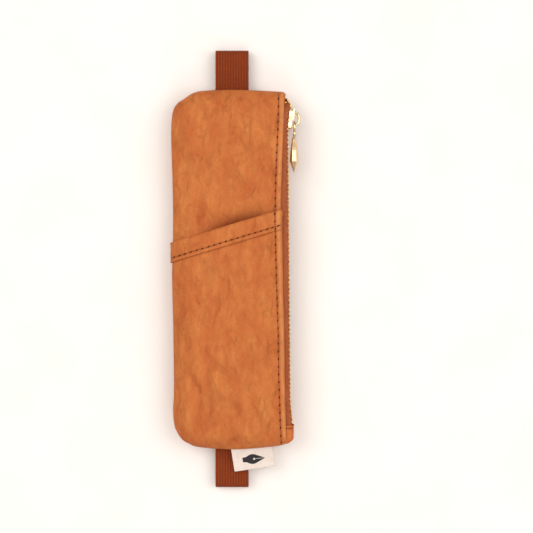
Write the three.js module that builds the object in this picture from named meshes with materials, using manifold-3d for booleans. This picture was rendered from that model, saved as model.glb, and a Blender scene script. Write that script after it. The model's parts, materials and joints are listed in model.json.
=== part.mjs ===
// A pen pouch that straps onto a notebook: two leather-like panels and a lining sewn on three sides, a
// metal zip along the right side, a slanted slip pocket on the front, and an elastic loop on the back.
// Millimetres. The pouch lies on its elastic: X across it, Y towards the closed end of the zip, Z up.
// The origin is on the surface it lies on, under the middle of its outer box.
import * as THREE from "three";
import { mergeVertices } from "three/addons/utils/BufferGeometryUtils.js";
import Module from "manifold-3d";

const wasm = await Module();
wasm.setup();

// ---- Driving dimensions ----
const GAP = 0.3; // clearance between pieces that lie on each other
const LEATHER = 0.8;
const LINING = 0.4;
const TAPE = 0.5;
const THREAD = 0.4;

const ELASTIC = { x0: -11.2, x1: 6.8, thick: 1.1, gap: 4.6, reach: 119.3 }; // gap: for a notebook cover
const ELASTIC_TOP = 2 * ELASTIC.thick + ELASTIC.gap;

const POUCH = { left: -34.6, top: 95.6, bottom: -95.0 }; // the sewn outline, without its swellings
const CORNER = { top: [14, 14], bottom: [17, 20] }; // width and height of the rounded left corners
const EDGE_HALF = 6.0; // from the zip's middle plane to the outside of a panel at the zip
const ZIP_Z = ELASTIC_TOP + GAP + EDGE_HALF; // the middle plane of the zip
const SEAM_Z = ZIP_Z - 1.5; // where the panels meet on the three sewn sides
const CROWN = 0.7; // the front panel's rise in the middle, above its height at the zip
const LEFT_ROUND = 15; // how far from the left seam the panels become level
const END_ROUND = { middle: 22, zip: 7.5 }; // the same, from the top and bottom seams

const POCKET = { slope: 0.3, atMiddle: 22.7, mouth: 1.2, band: 10.2, fold: 1.7 };
const SEAM_INSET = 3.6; // from the folded edge at the zip to the row of stitches along it

const CHAIN = { x: 28.35, lean: 0.0085, pitch: 2.43, half: 2.4, thick: 2.4, spine: 0.5 };
const TOOTH = { long: 0.9, tip: 0.4 }; // tip: how far past the middle plane a tooth reaches
const CHAIN_ENDS = [-80.8, 91.0]; // of the rows of teeth, along Y
const DEGREE = Math.PI / 180;
const SLIDER = { y: 81, long: 11, half: 4.1, plate: 1.2, clear: 0.3, spread: 1.1, tilt: -7 * DEGREE };
const BRIDGE = { reach: 4.9, wire: 1.4, long: 9.4, deep: 2.0 };
const PULL = { eyeLong: 8.6, eyeWide: 4.4, eyeThick: 1.2, barLong: 19.6, barWide: 4.8, barDeep: 4.0 };

// ---- Small tools ----
const lerp = (a, b, t) => a + (b - a) * t;
const clamp = (t) => Math.min(1, Math.max(0, t));
const smooth = (t) => clamp(t) ** 2 * (3 - 2 * clamp(t));
const bell = (t) => Math.exp(-t * t);

// A smooth curve through points given as [at, value], with `at` rising.
function through(points) {
  const curve = new THREE.SplineCurve(points.map(([at, value]) => new THREE.Vector2(at, value)));
  const spread = curve.getPoints(120);
  return (at) => {
    const i = Math.max(1, spread.findIndex((p) => p.x >= at));
    const [a, b] = [spread[i - 1], spread[i]];
    return lerp(a.y, b.y, clamp((at - a.x) / (b.x - a.x)));
  };
}

function solidOf(geometry) {
  const bare = new THREE.BufferGeometry().setAttribute("position", geometry.getAttribute("position"));
  if (geometry.index) bare.setIndex(geometry.index);
  const merged = mergeVertices(bare, 1e-4);
  return new wasm.Manifold(
    new wasm.Mesh({
      numProp: 3,
      vertProperties: new Float32Array(merged.attributes.position.array),
      triVerts: new Uint32Array(merged.index.array),
    }),
  );
}

function geometryOf(solid) {
  const mesh = solid.getMesh();
  return new THREE.BufferGeometry()
    .setAttribute("position", new THREE.BufferAttribute(mesh.vertProperties, 3))
    .setIndex(new THREE.BufferAttribute(mesh.triVerts, 1));
}

const join = (...parts) => geometryOf(parts.map(solidOf).reduce((a, b) => a.add(b)));

// Moves each vertex of a geometry to place(x, y, z), which gives [x, y, z].
function bend(geometry, place) {
  const p = geometry.getAttribute("position");
  for (let i = 0; i < p.count; i++) p.setXYZ(i, ...place(p.getX(i), p.getY(i), p.getZ(i)));
  return geometry;
}

// A box of nu by nv cells, laid as a sheet: place(i, j, outside) gives the point of column i and row j, on
// its inside or outside face.
function sheet(nu, nv, place) {
  return bend(new THREE.BoxGeometry(nu, nv, 1, nu, nv, 1), (x, y, z) =>
    place(Math.round(x + nu / 2), Math.round(y + nv / 2), z > 0),
  );
}

// An outline drawn in Y and Z, given as [y, z] points, made solid from x0 to x1.
function extrudeAcross(outline, x0, x1, hole) {
  const shape = new THREE.Shape(outline.map((p) => new THREE.Vector2(...p)));
  if (hole) shape.holes.push(new THREE.Path(hole.map((p) => new THREE.Vector2(...p))));
  const settings = { depth: x1 - x0, bevelEnabled: false };
  return bend(new THREE.ExtrudeGeometry(shape, settings), (y, z, x) => [x0 + x, y, z]);
}

// A thread or tape of square section along points.
function strand(points, wide, steps, high = wide) {
  const [w, h] = [wide / 2, high / 2];
  const corners = [[-w, -h], [w, -h], [w, h], [-w, h]];
  const section = new THREE.Shape(corners.map((p) => new THREE.Vector2(...p)));
  const path = new THREE.CatmullRomCurve3(points.map((p) => new THREE.Vector3(...p)));
  return new THREE.ExtrudeGeometry(section, { steps, extrudePath: path, bevelEnabled: false });
}

// ---- The pouch's outline and surfaces ----
const rightEdge = through([
  [-100, 27.2],
  [-65, 26.6],
  [-30, 26.0],
  [10, 25.1],
  [35, 24.6],
  [73, 25.6],
  [100, 27.2],
]);
const topEdge = (x) => POUCH.top + 1.3 * bell((x + 3) / 14) - 1.2 * smooth((x - 25) / 2.4);
const bottomEdge = (x) => POUCH.bottom - 2.5 * bell((x + 4) / 20) + 1.2 * smooth((x - 25) / 2.4);

function leftEdge(y) {
  const round = ([wide, high], distance) => wide * (1 - Math.sqrt(1 - clamp(1 - distance / high) ** 2));
  return POUCH.left + round(CORNER.top, POUCH.top + 0.3 - y) + round(CORNER.bottom, y - POUCH.bottom + 1.5);
}

// How full the pouch is at a point: 0 on the three seams, 1 where its panels lie level.
function fullness(x, y) {
  const rise = (distance, round) => Math.sqrt(1 - (1 - clamp(distance / round)) ** 2);
  const across = clamp((x - leftEdge(y)) / (rightEdge(y) - leftEdge(y)));
  const round = lerp(END_ROUND.middle, END_ROUND.zip, smooth((across - 0.5) / 0.45));
  const end = Math.min(topEdge(x) - y, y - bottomEdge(x));
  return rise(x - leftEdge(y), LEFT_ROUND) * rise(end, round);
}

const crown = (x, y) => CROWN * Math.sin(Math.PI * clamp((x - leftEdge(y)) / (rightEdge(y) - leftEdge(y))));
const frontInside = (x, y) =>
  SEAM_Z + GAP / 2 + (ZIP_Z + EDGE_HALF - LEATHER - SEAM_Z - GAP / 2 + crown(x, y)) * fullness(x, y);
const frontOutside = (x, y) => frontInside(x, y) + LEATHER;
const backInside = (x, y) =>
  SEAM_Z - GAP / 2 - (SEAM_Z - GAP / 2 - ZIP_Z + EDGE_HALF - LEATHER) * fullness(x, y);
const backOutside = (x, y) => backInside(x, y) - LEATHER;

// Distances from a seam at which a sheet's rows or columns lie: close together where the panel curves.
const NEAR_SEAM = [0, 0.6, 1.8, 4, 7.2, 11, 15.5, 21];

function spaced(i, n, length, bothEnds = false) {
  const near = NEAR_SEAM.length - 1;
  if (i <= near) return NEAR_SEAM[i];
  if (bothEnds && i >= n - near) return length - NEAR_SEAM[n - i];
  const far = bothEnds ? length - NEAR_SEAM[near] : length;
  return lerp(NEAR_SEAM[near], far, (i - near) / ((bothEnds ? n - near : n) - near));
}

const COLUMNS = 12;
const ROWS = 22;
const columnX = (i, y) => leftEdge(y) + spaced(i, COLUMNS, rightEdge(y) - leftEdge(y));
const roughX = (i) => lerp(POUCH.left, 26, i / COLUMNS); // close enough to place a column's ends
const panelPoint = (i, j) => {
  const guess = roughX(i);
  const length = topEdge(guess) - bottomEdge(guess);
  const y = bottomEdge(guess) + spaced(j, ROWS, length, true);
  return [columnX(i, y), y];
};

function panel(inside, outside) {
  return sheet(COLUMNS, ROWS, (i, j, up) => {
    const [x, y] = panelPoint(i, j);
    return [x, y, up ? outside(x, y) : inside(x, y)];
  });
}

// ---- Shell: front and back panels, lining ----
const frontPanel = () => panel(frontInside, frontOutside);
const backPanel = () => panel(backOutside, backInside);

const LINING_INSET = { left: 5.5, right: 7.0, ends: 7 };
const LINING_GAP = 0.5; // more than GAP, because its cells don't match the panels'

function lining(inside, outside) {
  const columns = 8;
  const rows = 14;
  return sheet(columns, rows, (i, j, up) => {
    const y = lerp(POUCH.bottom + LINING_INSET.ends, POUCH.top - LINING_INSET.ends, j / rows);
    const x = lerp(leftEdge(y) + LINING_INSET.left, rightEdge(y) - LINING_INSET.right, i / columns);
    return [x, y, up ? outside(x, y) : inside(x, y)];
  });
}
const liningFront = () =>
  lining(
    (x, y) => frontInside(x, y) - LINING_GAP - LINING,
    (x, y) => frontInside(x, y) - LINING_GAP,
  );
const liningBack = () =>
  lining(
    (x, y) => backInside(x, y) + LINING_GAP,
    (x, y) => backInside(x, y) + LINING_GAP + LINING,
  );

// ---- Slip pocket: its panel, and the folded band along its slanted mouth ----
const POCKET_GAP = 0.8; // more than GAP, because the cells of the two panels split the other way
const mouthY = (x) => POCKET.atMiddle + POCKET.slope * (x + 4);
const mouthGap = (x, y) => POCKET.mouth * bell((x - 6) / 16) * smooth(1 - (mouthY(x) - y) / 45);
const pocketInside = (x, y) => frontOutside(x, y) + POCKET_GAP + mouthGap(x, y);
const pocketOutside = (x, y) => pocketInside(x, y) + LEATHER;

function pocketPanel() {
  const rows = 15;
  return sheet(COLUMNS, rows, (i, j, up) => {
    const guess = roughX(i);
    const top = mouthY(guess) - POCKET.fold - GAP;
    const y = bottomEdge(guess) + spaced(j, rows, top - bottomEdge(guess));
    const x = columnX(i, y);
    return [x, y, up ? pocketOutside(x, y) : pocketInside(x, y)];
  });
}

// The band wraps over the pocket's upper edge: past the panel's end its inside drops to the panel's inside.
const BAND = { past: 0.5, step: 0.04, lip: 0.7 }; // past the left seam, the drop's length, the lip's share
function pocketBand() {
  const rows = 4;
  const edge = POCKET.band - POCKET.fold;
  const up = [0, POCKET.band * 0.55, edge - BAND.step, edge + BAND.step, POCKET.band];
  return sheet(COLUMNS, rows, (i, j, outside) => {
    const y = mouthY(roughX(i)) - POCKET.band + up[j];
    const x = columnX(i, y) - (i === 0 ? BAND.past : 0);
    if (outside) return [x, y, pocketOutside(x, y) + GAP + LEATHER * (j === rows ? BAND.lip : 1)];
    return [x, y, up[j] > edge ? pocketInside(x, y) : pocketOutside(x, y) + GAP];
  });
}

// ---- Zip: tapes, rows of teeth, stops ----
const FLARE = { from: -68, over: 13, out: 0.9 }; // the chain leans out towards the end tab
const SWELL = { from: 75, over: 12.5, out: 1.54 }; // the chain leans out through the slider
const CURL = { from: 87.5, over: 4.5, in: 2.6 }; // and turns in again under the corner
const PARTING = { from: 76.5, over: 7.5 }; // the rows come apart inside the slider
const SWELL_END = 87; // above it they close up a little, towards the stops
const chainX = (y) =>
  CHAIN.x +
  CHAIN.lean * Math.max(0, SWELL.from - y) +
  FLARE.out * clamp((FLARE.from - y) / FLARE.over) ** 2 +
  SWELL.out * clamp((y - SWELL.from) / SWELL.over) -
  CURL.in * clamp((y - CURL.from) / CURL.over) ** 1.5;
const chainSpread = (y) =>
  SLIDER.spread * smooth((y - PARTING.from) / PARTING.over) * (1 - 0.5 * smooth((y - SWELL_END) / 4));

// One row: a bead along the tape's edge with teeth on it. side is 1 for the front row, -1 for the back one.
const SPINE_CELLS = 34;
const TOOTH_ROOT = 0.1; // how far a tooth reaches into the bead
const ROW_END = 0.3; // bare bead at each end of a row
function teethRow(side) {
  const [from, to] = CHAIN_ENDS;
  const [out, bead, tip] = [CHAIN.half, CHAIN.half - CHAIN.spine, -TOOTH.tip];
  const [low, high] = side > 0 ? [bead, out] : [-out, -bead];
  const spine = sheet(1, SPINE_CELLS, (i, j, up) => {
    const y = lerp(from, to, j / SPINE_CELLS);
    return [chainX(y) - (i ? 0 : CHAIN.thick), y, ZIP_Z + side * chainSpread(y) + (up ? high : low)];
  });
  const teeth = [];
  const first = from + ROW_END + TOOTH.long / 2 + (side > 0 ? 0 : CHAIN.pitch / 2);
  for (let y = first; y < to - ROW_END - TOOTH.long / 2; y += CHAIN.pitch) {
    const tooth = new THREE.BoxGeometry(CHAIN.thick - 0.1, TOOTH.long, bead - tip + 2 * TOOTH_ROOT);
    const z = (bead + tip) / 2 + TOOTH_ROOT + chainSpread(y);
    teeth.push(tooth.translate(chainX(y) - CHAIN.thick / 2, y, ZIP_Z + side * z));
  }
  return join(spine, ...teeth);
}

const TAPE_IN = 6.2; // how far the tape reaches under the panel
const TAPE_ROWS = { coarse: 10, fine: 8, change: 73 }; // cells, closer together past the slider
const tapeZ = EDGE_HALF - LEATHER - GAP - TAPE / 2; // of the tape's flat, from the zip's middle plane

// The tape's section, from under the panel, out past its edge and down to the bead.
function tapeSection(y) {
  const end = rightEdge(y);
  const middle = chainX(y) - CHAIN.thick / 2;
  const low = CHAIN.half + chainSpread(y) + GAP + 0.05;
  return [
    [end - TAPE_IN, tapeZ],
    [end - 3, tapeZ],
    [middle - 1.1, tapeZ],
    [middle - 0.2, tapeZ - 0.2],
    [middle, Math.max(tapeZ - 0.75, low + 0.3)],
    [middle, low],
  ];
}

function zipTape(side) {
  const [from, to] = [CHAIN_ENDS[0] - 1, CHAIN_ENDS[1] - 5];
  const { coarse, fine, change } = TAPE_ROWS;
  const across = tapeSection(0).length - 1;
  return sheet(across, coarse + fine, (i, j, up) => {
    const y = j < coarse ? lerp(from, change, j / coarse) : lerp(change, to, (j - coarse) / fine);
    const section = tapeSection(y).map((p) => new THREE.Vector2(...p));
    const ahead = section[Math.min(i + 1, across)].clone().sub(section[Math.max(i - 1, 0)]).normalize();
    const off = (up === side > 0 ? TAPE : -TAPE) / 2;
    return [section[i].x - ahead.y * off, y, ZIP_Z + side * (section[i].y + ahead.x * off)];
  });
}

// A top stop is a clip pressed onto the bead just above the last tooth.
const TOP_STOP = { long: 1.4, wide: 1.4, deep: CHAIN.thick * 0.8, down: 0.8 };
function topStop(side) {
  const y = CHAIN_ENDS[1] + GAP + TOP_STOP.long / 2;
  const clip = new THREE.BoxGeometry(TOP_STOP.deep, TOP_STOP.long, TOP_STOP.wide);
  const z = CHAIN.half - TOP_STOP.down + chainSpread(y);
  return clip.translate(chainX(y) - CHAIN.thick / 2, y, ZIP_Z + side * z);
}

const BOTTOM_STOP_LONG = 2.2;
function bottomStop() {
  const y = CHAIN_ENDS[0] - GAP - BOTTOM_STOP_LONG / 2;
  const clip = new THREE.BoxGeometry(CHAIN.thick, BOTTOM_STOP_LONG, 2 * CHAIN.half - 0.4);
  return clip.translate(chainX(y) - CHAIN.thick / 2, y, ZIP_Z);
}

// ---- End tab: a strip of leather folded round the zip's lower end ----
// It is pinched in towards its lower end. turn runs from 1 at the front panel round to -1 at the back one.
const TAB = { from: -94, to: -84, out: 31.1, half: EDGE_HALF - 0.6, pinch: 0.62, pinchOver: 6 };
const TAB_ROUND = { in: 1.6, over: 4 }; // of its lower corner
const tabBulge = (turn) => (1 - Math.abs(turn) ** 3) ** 0.5;

function endTab() {
  const columns = 12;
  const rows = 5;
  return sheet(columns, rows, (i, j, up) => {
    const y = lerp(TAB.from, TAB.to, j / rows);
    const turn = lerp(1, -1, i / columns);
    const full = lerp(TAB.pinch, 1, Math.sqrt(clamp((y - TAB.from) / TAB.pinchOver)));
    const inner = rightEdge(y) + GAP + 0.2;
    const outer = TAB.out - TAB_ROUND.in * clamp((TAB.from + TAB_ROUND.over - y) / TAB_ROUND.over) ** 2;
    const grow = up ? 0 : LEATHER;
    const half = (TAB.half - grow) * full;
    return [lerp(inner, outer - grow, tabBulge(turn)), y, ZIP_Z + half * Math.sin((turn * Math.PI) / 2)];
  });
}

// ---- Elastic loop and the stitching that holds it to the back panel ----
// A closed band seen from the side: two flat runs with a half circle at each end.
function loopOutline(radius) {
  const middle = ELASTIC_TOP / 2;
  const flat = ELASTIC.reach - middle;
  const outline = [];
  const steps = 8;
  for (const end of [1, -1]) {
    for (let k = 0; k <= steps; k++) {
      const a = (Math.PI * k) / steps - Math.PI / 2;
      outline.push([end * (flat + radius * Math.cos(a)), middle + end * radius * Math.sin(a)]);
    }
  }
  return outline;
}

function elasticBand() {
  const radius = ELASTIC_TOP / 2;
  return extrudeAcross(loopOutline(radius), ELASTIC.x0, ELASTIC.x1, loopOutline(radius - ELASTIC.thick));
}

// The stitching shows on the inside of the loop, as a flat block of thread.
const TACK = { y: 86, long: 5, thick: 0.3, inset: 1 };
function elasticTack(end) {
  const block = new THREE.BoxGeometry(ELASTIC.x1 - ELASTIC.x0 - 2 * TACK.inset, TACK.long, TACK.thick);
  const z = ELASTIC.thick + ELASTIC.gap - GAP - TACK.thick / 2;
  return block.translate((ELASTIC.x0 + ELASTIC.x1) / 2, end * TACK.y, z);
}

// ---- Side label, sewn into the bottom seam ----
// Its corners are seen from the front. It droops from the seam, and its right side stands a little higher.
const LABEL = { upper: [[-2.6, -98.0], [19.4, -96.7]], lower: [[-0.65, -109.9], [20.7, -105.5]] };
const LABEL_Z = { lower: 9.0, upper: SEAM_Z - 0.25, lean: 0.5, thick: 0.5 };

function sideLabel() {
  const [columns, rows] = [6, 5];
  return sheet(columns, rows, (i, j, up) => {
    const [s, t] = [i / columns, j / rows];
    const along = ([left, right], k) => lerp(left[k], right[k], s);
    const z = lerp(LABEL_Z.lower, LABEL_Z.upper, t ** 1.3) + LABEL_Z.lean * s * (1 - t);
    const at = (k) => lerp(along(LABEL.lower, k), along(LABEL.upper, k), t);
    return [at(0), at(1), z + (up ? LABEL_Z.thick : 0)];
  });
}

// ---- Threads ----
function topSurface(x, y) {
  const band = mouthY(x);
  if (y > band + 0.6) return frontOutside(x, y);
  if (y > band - POCKET.band - 0.3) return pocketOutside(x, y) + GAP + LEATHER;
  return pocketOutside(x, y);
}
const THREAD_LIFT = GAP + THREAD / 2;

const STEP_REACH = 3; // the thread bridges the steps between layers, this far each side of them

function zipSeamFront() {
  const points = [];
  for (let y = -92; y <= 93; y += 5) {
    const x = rightEdge(y) - SEAM_INSET;
    const near = Math.max(...[-STEP_REACH, 0, STEP_REACH].map((d) => topSurface(x, y + d)));
    points.push([x, y, near + THREAD_LIFT + 0.1]);
  }
  return strand(points, THREAD, 46);
}

function zipSeamBack() {
  const points = [];
  for (let y = -91; y <= 91; y += 6) {
    const x = rightEdge(y) - SEAM_INSET;
    points.push([x, y, backOutside(x, y) - GAP]);
  }
  return strand(points, THREAD, 36);
}

const HEM = { left: POUCH.left + 3, right: 18.5, up: 2.5 }; // up from the band's lower edge
function pocketHem() {
  const points = [];
  for (let k = 0; k <= 12; k++) {
    const x = lerp(HEM.left, HEM.right, k / 12);
    const y = mouthY(x) - POCKET.band + HEM.up;
    points.push([x, y, pocketOutside(x, y) + GAP + LEATHER + THREAD_LIFT + 0.05]);
  }
  return strand(points, THREAD, 26);
}

// The tab's stitches run round its outside, a little below its upper edge.
const TAB_THREAD = { down: 1.5, turn: 0.72, off: 0.55 }; // off: from the tab's outside to the thread's middle
function tabThread() {
  const y = TAB.to - TAB_THREAD.down;
  const points = [];
  for (let k = 0; k <= 8; k++) {
    const turn = lerp(-TAB_THREAD.turn, TAB_THREAD.turn, k / 8);
    const x = lerp(rightEdge(y) + 1.2, TAB.out + TAB_THREAD.off, tabBulge(turn));
    points.push([x, y, ZIP_Z + (TAB.half + TAB_THREAD.off) * Math.sin((turn * Math.PI) / 2)]);
  }
  return strand(points, THREAD, 14);
}

// ---- Slider: two plates joined by a wedge between the rows, with a bridge for the pull ----
// It is drawn about its own centre: x from the outer face of the teeth, y along the chain, z from its middle.
const SLIDER_NECK = SLIDER.half - 0.75; // half its width at the closed end
const SLIDER_SIDE = [
  [-4.3, SLIDER_NECK],
  [-0.6, SLIDER_NECK + 0.3],
  [2.4, SLIDER.half],
  [4.3, SLIDER.half],
];
const FLANGE = { wall: 0.45, lip: 0.7 };

function plate(x0, x1) {
  const end = SLIDER.long / 2;
  const side = [[-end, SLIDER_NECK - 0.9], ...SLIDER_SIDE, [end, SLIDER.half - 1.4]];
  const other = side.map(([y, z]) => [y, -z]).reverse();
  return extrudeAcross([...side, ...other], x0, x1);
}

// A flange: the rim of a plate that turns in over the outside of a row of teeth.
function flange(side, x0, x1) {
  const inner = SLIDER_SIDE.map(([y, z]) => [y, z - FLANGE.wall]).reverse();
  return extrudeAcross([...SLIDER_SIDE, ...inner].map(([y, z]) => [y, side * z]), x0, x1);
}

// The bridge is a D of wire that stands on the outer plate, in the plane of X and Y.
function bridge() {
  const foot = SLIDER.clear + SLIDER.plate - 0.2;
  const arch = (reach, half) => {
    const points = [];
    for (let k = 0; k <= 12; k++) {
      const a = lerp(-Math.PI / 2, Math.PI / 2, k / 12);
      points.push(new THREE.Vector2(foot + reach * Math.abs(Math.cos(a)) ** 0.75, half * Math.sin(a)));
    }
    return points;
  };
  const outer = arch(BRIDGE.reach, BRIDGE.long / 2);
  const inner = arch(BRIDGE.reach - BRIDGE.wire, BRIDGE.long / 2 - BRIDGE.wire).reverse();
  const shape = new THREE.Shape([...outer, ...inner]);
  const made = new THREE.ExtrudeGeometry(shape, { depth: BRIDGE.deep, bevelEnabled: false });
  return made.translate(0, 0, -BRIDGE.deep / 2);
}

function sliderBody() {
  const near = SLIDER.clear;
  const far = -CHAIN.thick - SLIDER.clear;
  const wedge = [[1.6, 0.1], [4.9, 0.45], [4.9, -0.45], [1.6, -0.1]];
  const pieces = [
    plate(near, near + SLIDER.plate),
    plate(far - SLIDER.plate, far),
    extrudeAcross(wedge, far - 0.1, near + 0.1),
    bridge(),
  ];
  for (const side of [1, -1]) {
    pieces.push(flange(side, near - FLANGE.lip, near + 0.1), flange(side, far - 0.1, far + FLANGE.lip));
  }
  return join(...pieces).rotateZ(SLIDER.tilt).translate(chainX(SLIDER.y), SLIDER.y, ZIP_Z);
}

// ---- Pull: an eye that hangs in the bridge, a waist, and a faceted bar with a pointed end ----
// Drawn about its pivot, hanging towards -Y.
const PULL_PIVOT = [31.75, 78.6];
const EYE = { top: 1.15, bar: 1.25, wall: 0.8, shoulder: -4.8, neck: 1.1, corner: 0.9 }; // top, shoulder: y

function pullTab() {
  const half = PULL.eyeWide / 2;
  const hole = half - EYE.wall;
  const neck = EYE.top - PULL.eyeLong;
  const corner = [EYE.top - EYE.corner, half];
  const side = [[EYE.top, half - EYE.corner], corner, [EYE.shoulder, half], [neck, EYE.neck]];
  const outline = [...side, ...side.map(([y, z]) => [y, -z]).reverse()];
  const [holeTop, holeEnd] = [EYE.top - EYE.bar, EYE.shoulder + 0.2];
  const opening = [[holeTop, hole], [holeTop, -hole], [holeEnd, -hole], [holeEnd, hole]];
  const eye = extrudeAcross(outline, -PULL.eyeThick / 2, PULL.eyeThick / 2, opening);
  return join(eye, pullBar(neck + 0.4)).translate(...PULL_PIVOT, ZIP_Z);
}

// The bar has six sides, is widest two thirds of the way down, and ends in a point.
const BAR_OFF = 0.25; // from the eye's middle, towards the teeth
function pullBar(top) {
  const stations = [[0, 0.24], [0.07, 0.62], [0.62, 0.98], [0.7, 1], [0.98, 0.12], [1, 0.06]];
  const cells = stations.length - 1;
  return bend(new THREE.CylinderGeometry(1, 1, cells, 6, cells), (x, y, z) => {
    const [down, full] = stations[Math.round(cells / 2 - y)];
    const [wide, deep] = [PULL.barWide * full, PULL.barDeep * full];
    return [(-z * wide) / 2 - BAR_OFF, top - down * PULL.barLong, (x * deep) / 2];
  });
}

// ---- Assembly ----
const finish = (color, roughness, metalness = 0) =>
  new THREE.MeshStandardMaterial({ color, roughness, metalness });
const FINISH = {
  leather: finish(0xcc713d, 0.75),
  lining: finish(0x8a6a4e, 0.9),
  tape: finish(0xae5d3a, 0.9),
  brass: finish(0xe3b668, 0.3, 1),
  thread: finish(0x3b1c12, 0.8),
  elastic: finish(0x883d20, 0.9),
  label: finish(0xf0e4da, 0.95),
};

const pouch = new THREE.Group();
pouch.name = "pen_pouch";
function add(name, geometry, material) {
  const mesh = new THREE.Mesh(geometry, material);
  mesh.name = name;
  pouch.add(mesh);
}

add("front_panel", frontPanel(), FINISH.leather);
add("back_panel", backPanel(), FINISH.leather);
add("lining_front", liningFront(), FINISH.lining);
add("lining_back", liningBack(), FINISH.lining);
add("pocket_panel", pocketPanel(), FINISH.leather);
add("pocket_band", pocketBand(), FINISH.leather);
for (const [name, side] of [["front", 1], ["back", -1]]) {
  add(`zip_tape_${name}`, zipTape(side), FINISH.tape);
  add(`zip_teeth_${name}`, teethRow(side), FINISH.brass);
  add(`zip_top_stop_${name}`, topStop(side), FINISH.brass);
}
add("zip_bottom_stop", bottomStop(), FINISH.brass);
add("zip_end_tab", endTab(), FINISH.leather);
add("elastic_band", elasticBand(), FINISH.elastic);
add("elastic_tack_top", elasticTack(1), FINISH.thread);
add("elastic_tack_bottom", elasticTack(-1), FINISH.thread);
add("side_label", sideLabel(), FINISH.label);
add("zip_seam_thread_front", zipSeamFront(), FINISH.thread);
add("zip_seam_thread_back", zipSeamBack(), FINISH.thread);
add("pocket_hem_thread", pocketHem(), FINISH.thread);
add("end_tab_thread", tabThread(), FINISH.thread);
add("slider_body", sliderBody(), FINISH.brass);
add("pull_tab", pullTab(), FINISH.brass);

export default pouch;
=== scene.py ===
import json
import math

import bmesh
import bpy
import numpy as np
from mathutils import Matrix, Vector, noise
from mathutils.bvhtree import BVHTree


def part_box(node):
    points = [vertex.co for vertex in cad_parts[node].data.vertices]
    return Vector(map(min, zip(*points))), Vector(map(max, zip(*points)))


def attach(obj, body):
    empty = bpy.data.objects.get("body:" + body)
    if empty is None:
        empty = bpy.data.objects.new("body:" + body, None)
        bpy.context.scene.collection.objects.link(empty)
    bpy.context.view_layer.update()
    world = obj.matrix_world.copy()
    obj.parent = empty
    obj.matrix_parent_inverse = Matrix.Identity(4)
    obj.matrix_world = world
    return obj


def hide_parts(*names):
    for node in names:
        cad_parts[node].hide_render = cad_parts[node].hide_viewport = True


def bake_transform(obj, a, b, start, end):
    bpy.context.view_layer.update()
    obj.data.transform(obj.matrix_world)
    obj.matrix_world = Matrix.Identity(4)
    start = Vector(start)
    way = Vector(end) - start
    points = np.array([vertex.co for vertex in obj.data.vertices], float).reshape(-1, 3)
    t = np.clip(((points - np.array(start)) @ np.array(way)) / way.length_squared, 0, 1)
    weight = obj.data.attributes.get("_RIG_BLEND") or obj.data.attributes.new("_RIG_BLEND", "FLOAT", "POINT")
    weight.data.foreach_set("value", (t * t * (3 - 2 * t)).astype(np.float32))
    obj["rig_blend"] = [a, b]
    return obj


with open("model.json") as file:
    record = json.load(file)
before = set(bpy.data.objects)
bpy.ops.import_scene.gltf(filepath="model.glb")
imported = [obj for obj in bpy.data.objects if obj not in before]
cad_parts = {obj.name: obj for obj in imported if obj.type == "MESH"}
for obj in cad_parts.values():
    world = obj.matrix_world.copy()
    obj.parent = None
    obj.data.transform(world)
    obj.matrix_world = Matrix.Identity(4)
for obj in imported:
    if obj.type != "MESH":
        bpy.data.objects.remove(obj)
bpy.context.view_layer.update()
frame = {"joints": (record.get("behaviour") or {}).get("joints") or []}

# ---- Front panel ----
# The front of the pouch is one sheet of washable paper leather, crumpled and pressed flat again. It is sewn
# to the back with the right sides together and turned, so three edges roll into the seam; the fourth is
# folded under along the zip and stitched down.
MM = 0.001  # sizes below are in millimetres


def corners(node):
    """The lowest and highest corners of a frame node, in millimetres."""
    return [np.array(corner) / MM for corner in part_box(node)]


slider_low, slider_high = corners("slider_body")
zip_z = (slider_low[2] + slider_high[2]) / 2
panel_z = corners("zip_tape_front")[1][2] + 1.1  # the outside of the front panel, level with the zip
seam_z = zip_z - 1.5  # where front and back meet
back_z = corners("back_panel")[0][2]
LEATHER = 0.5  # the thickness of one layer
CROWN = 0.7  # how far each panel bows out in its middle

LEFT = [(-31.1, -89.3), (-33.1, -84.6), (-33.9, -76), (-33.4, -64), (-33.8, -32), (-34.4, -6), (-33.9, 26),
        (-34.3, 50), (-34.9, 70), (-34.6, 81), (-33.4, 86.6), (-31.1, 89.9)]
TOP = [(-31.1, 89.9), (-27.2, 92.5), (-24.1, 94.5), (-21.0, 95.7), (-17, 96.3), (-3, 96.9), (14, 96.3),
       (25.0, 95.6), (26.6, 94.4)]
BOTTOM = [(-31.1, -89.3), (-28.6, -92.5), (-25.2, -94.4), (-20, -96.2), (-3, -97.5), (12, -96.7), (24.4, -95.3),
          (26.7, -94)]
FRONT_RIGHT = [(26.7, -94), (25.9, -64), (25, -20), (24, 20), (24.0, 36), (24.4, 50), (25.2, 73), (25.9, 90),
               (26.6, 94.4)]


def smooth_line(points, count):
    """count evenly spaced points on a Catmull-Rom curve through points."""
    p = np.array(points, float)
    p = np.vstack([2 * p[0] - p[1], p, 2 * p[-1] - p[-2]])
    t = np.linspace(0, 1, 24, endpoint=False)[:, None]
    spans = []
    for a, b, c, d in zip(p, p[1:], p[2:], p[3:]):
        bend, twist = 2 * a - 5 * b + 4 * c - d, 3 * b - a - 3 * c + d
        spans.append(0.5 * (2 * b + (c - a) * t + bend * t**2 + twist * t**3))
    line = np.vstack([*spans, p[-2:-1]])
    along = np.r_[0, np.cumsum(np.linalg.norm(np.diff(line, axis=0), axis=1))]
    at = np.linspace(0, along[-1], count)
    return np.stack([np.interp(at, along, line[:, k]) for k in range(line.shape[1])], 1)


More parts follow.
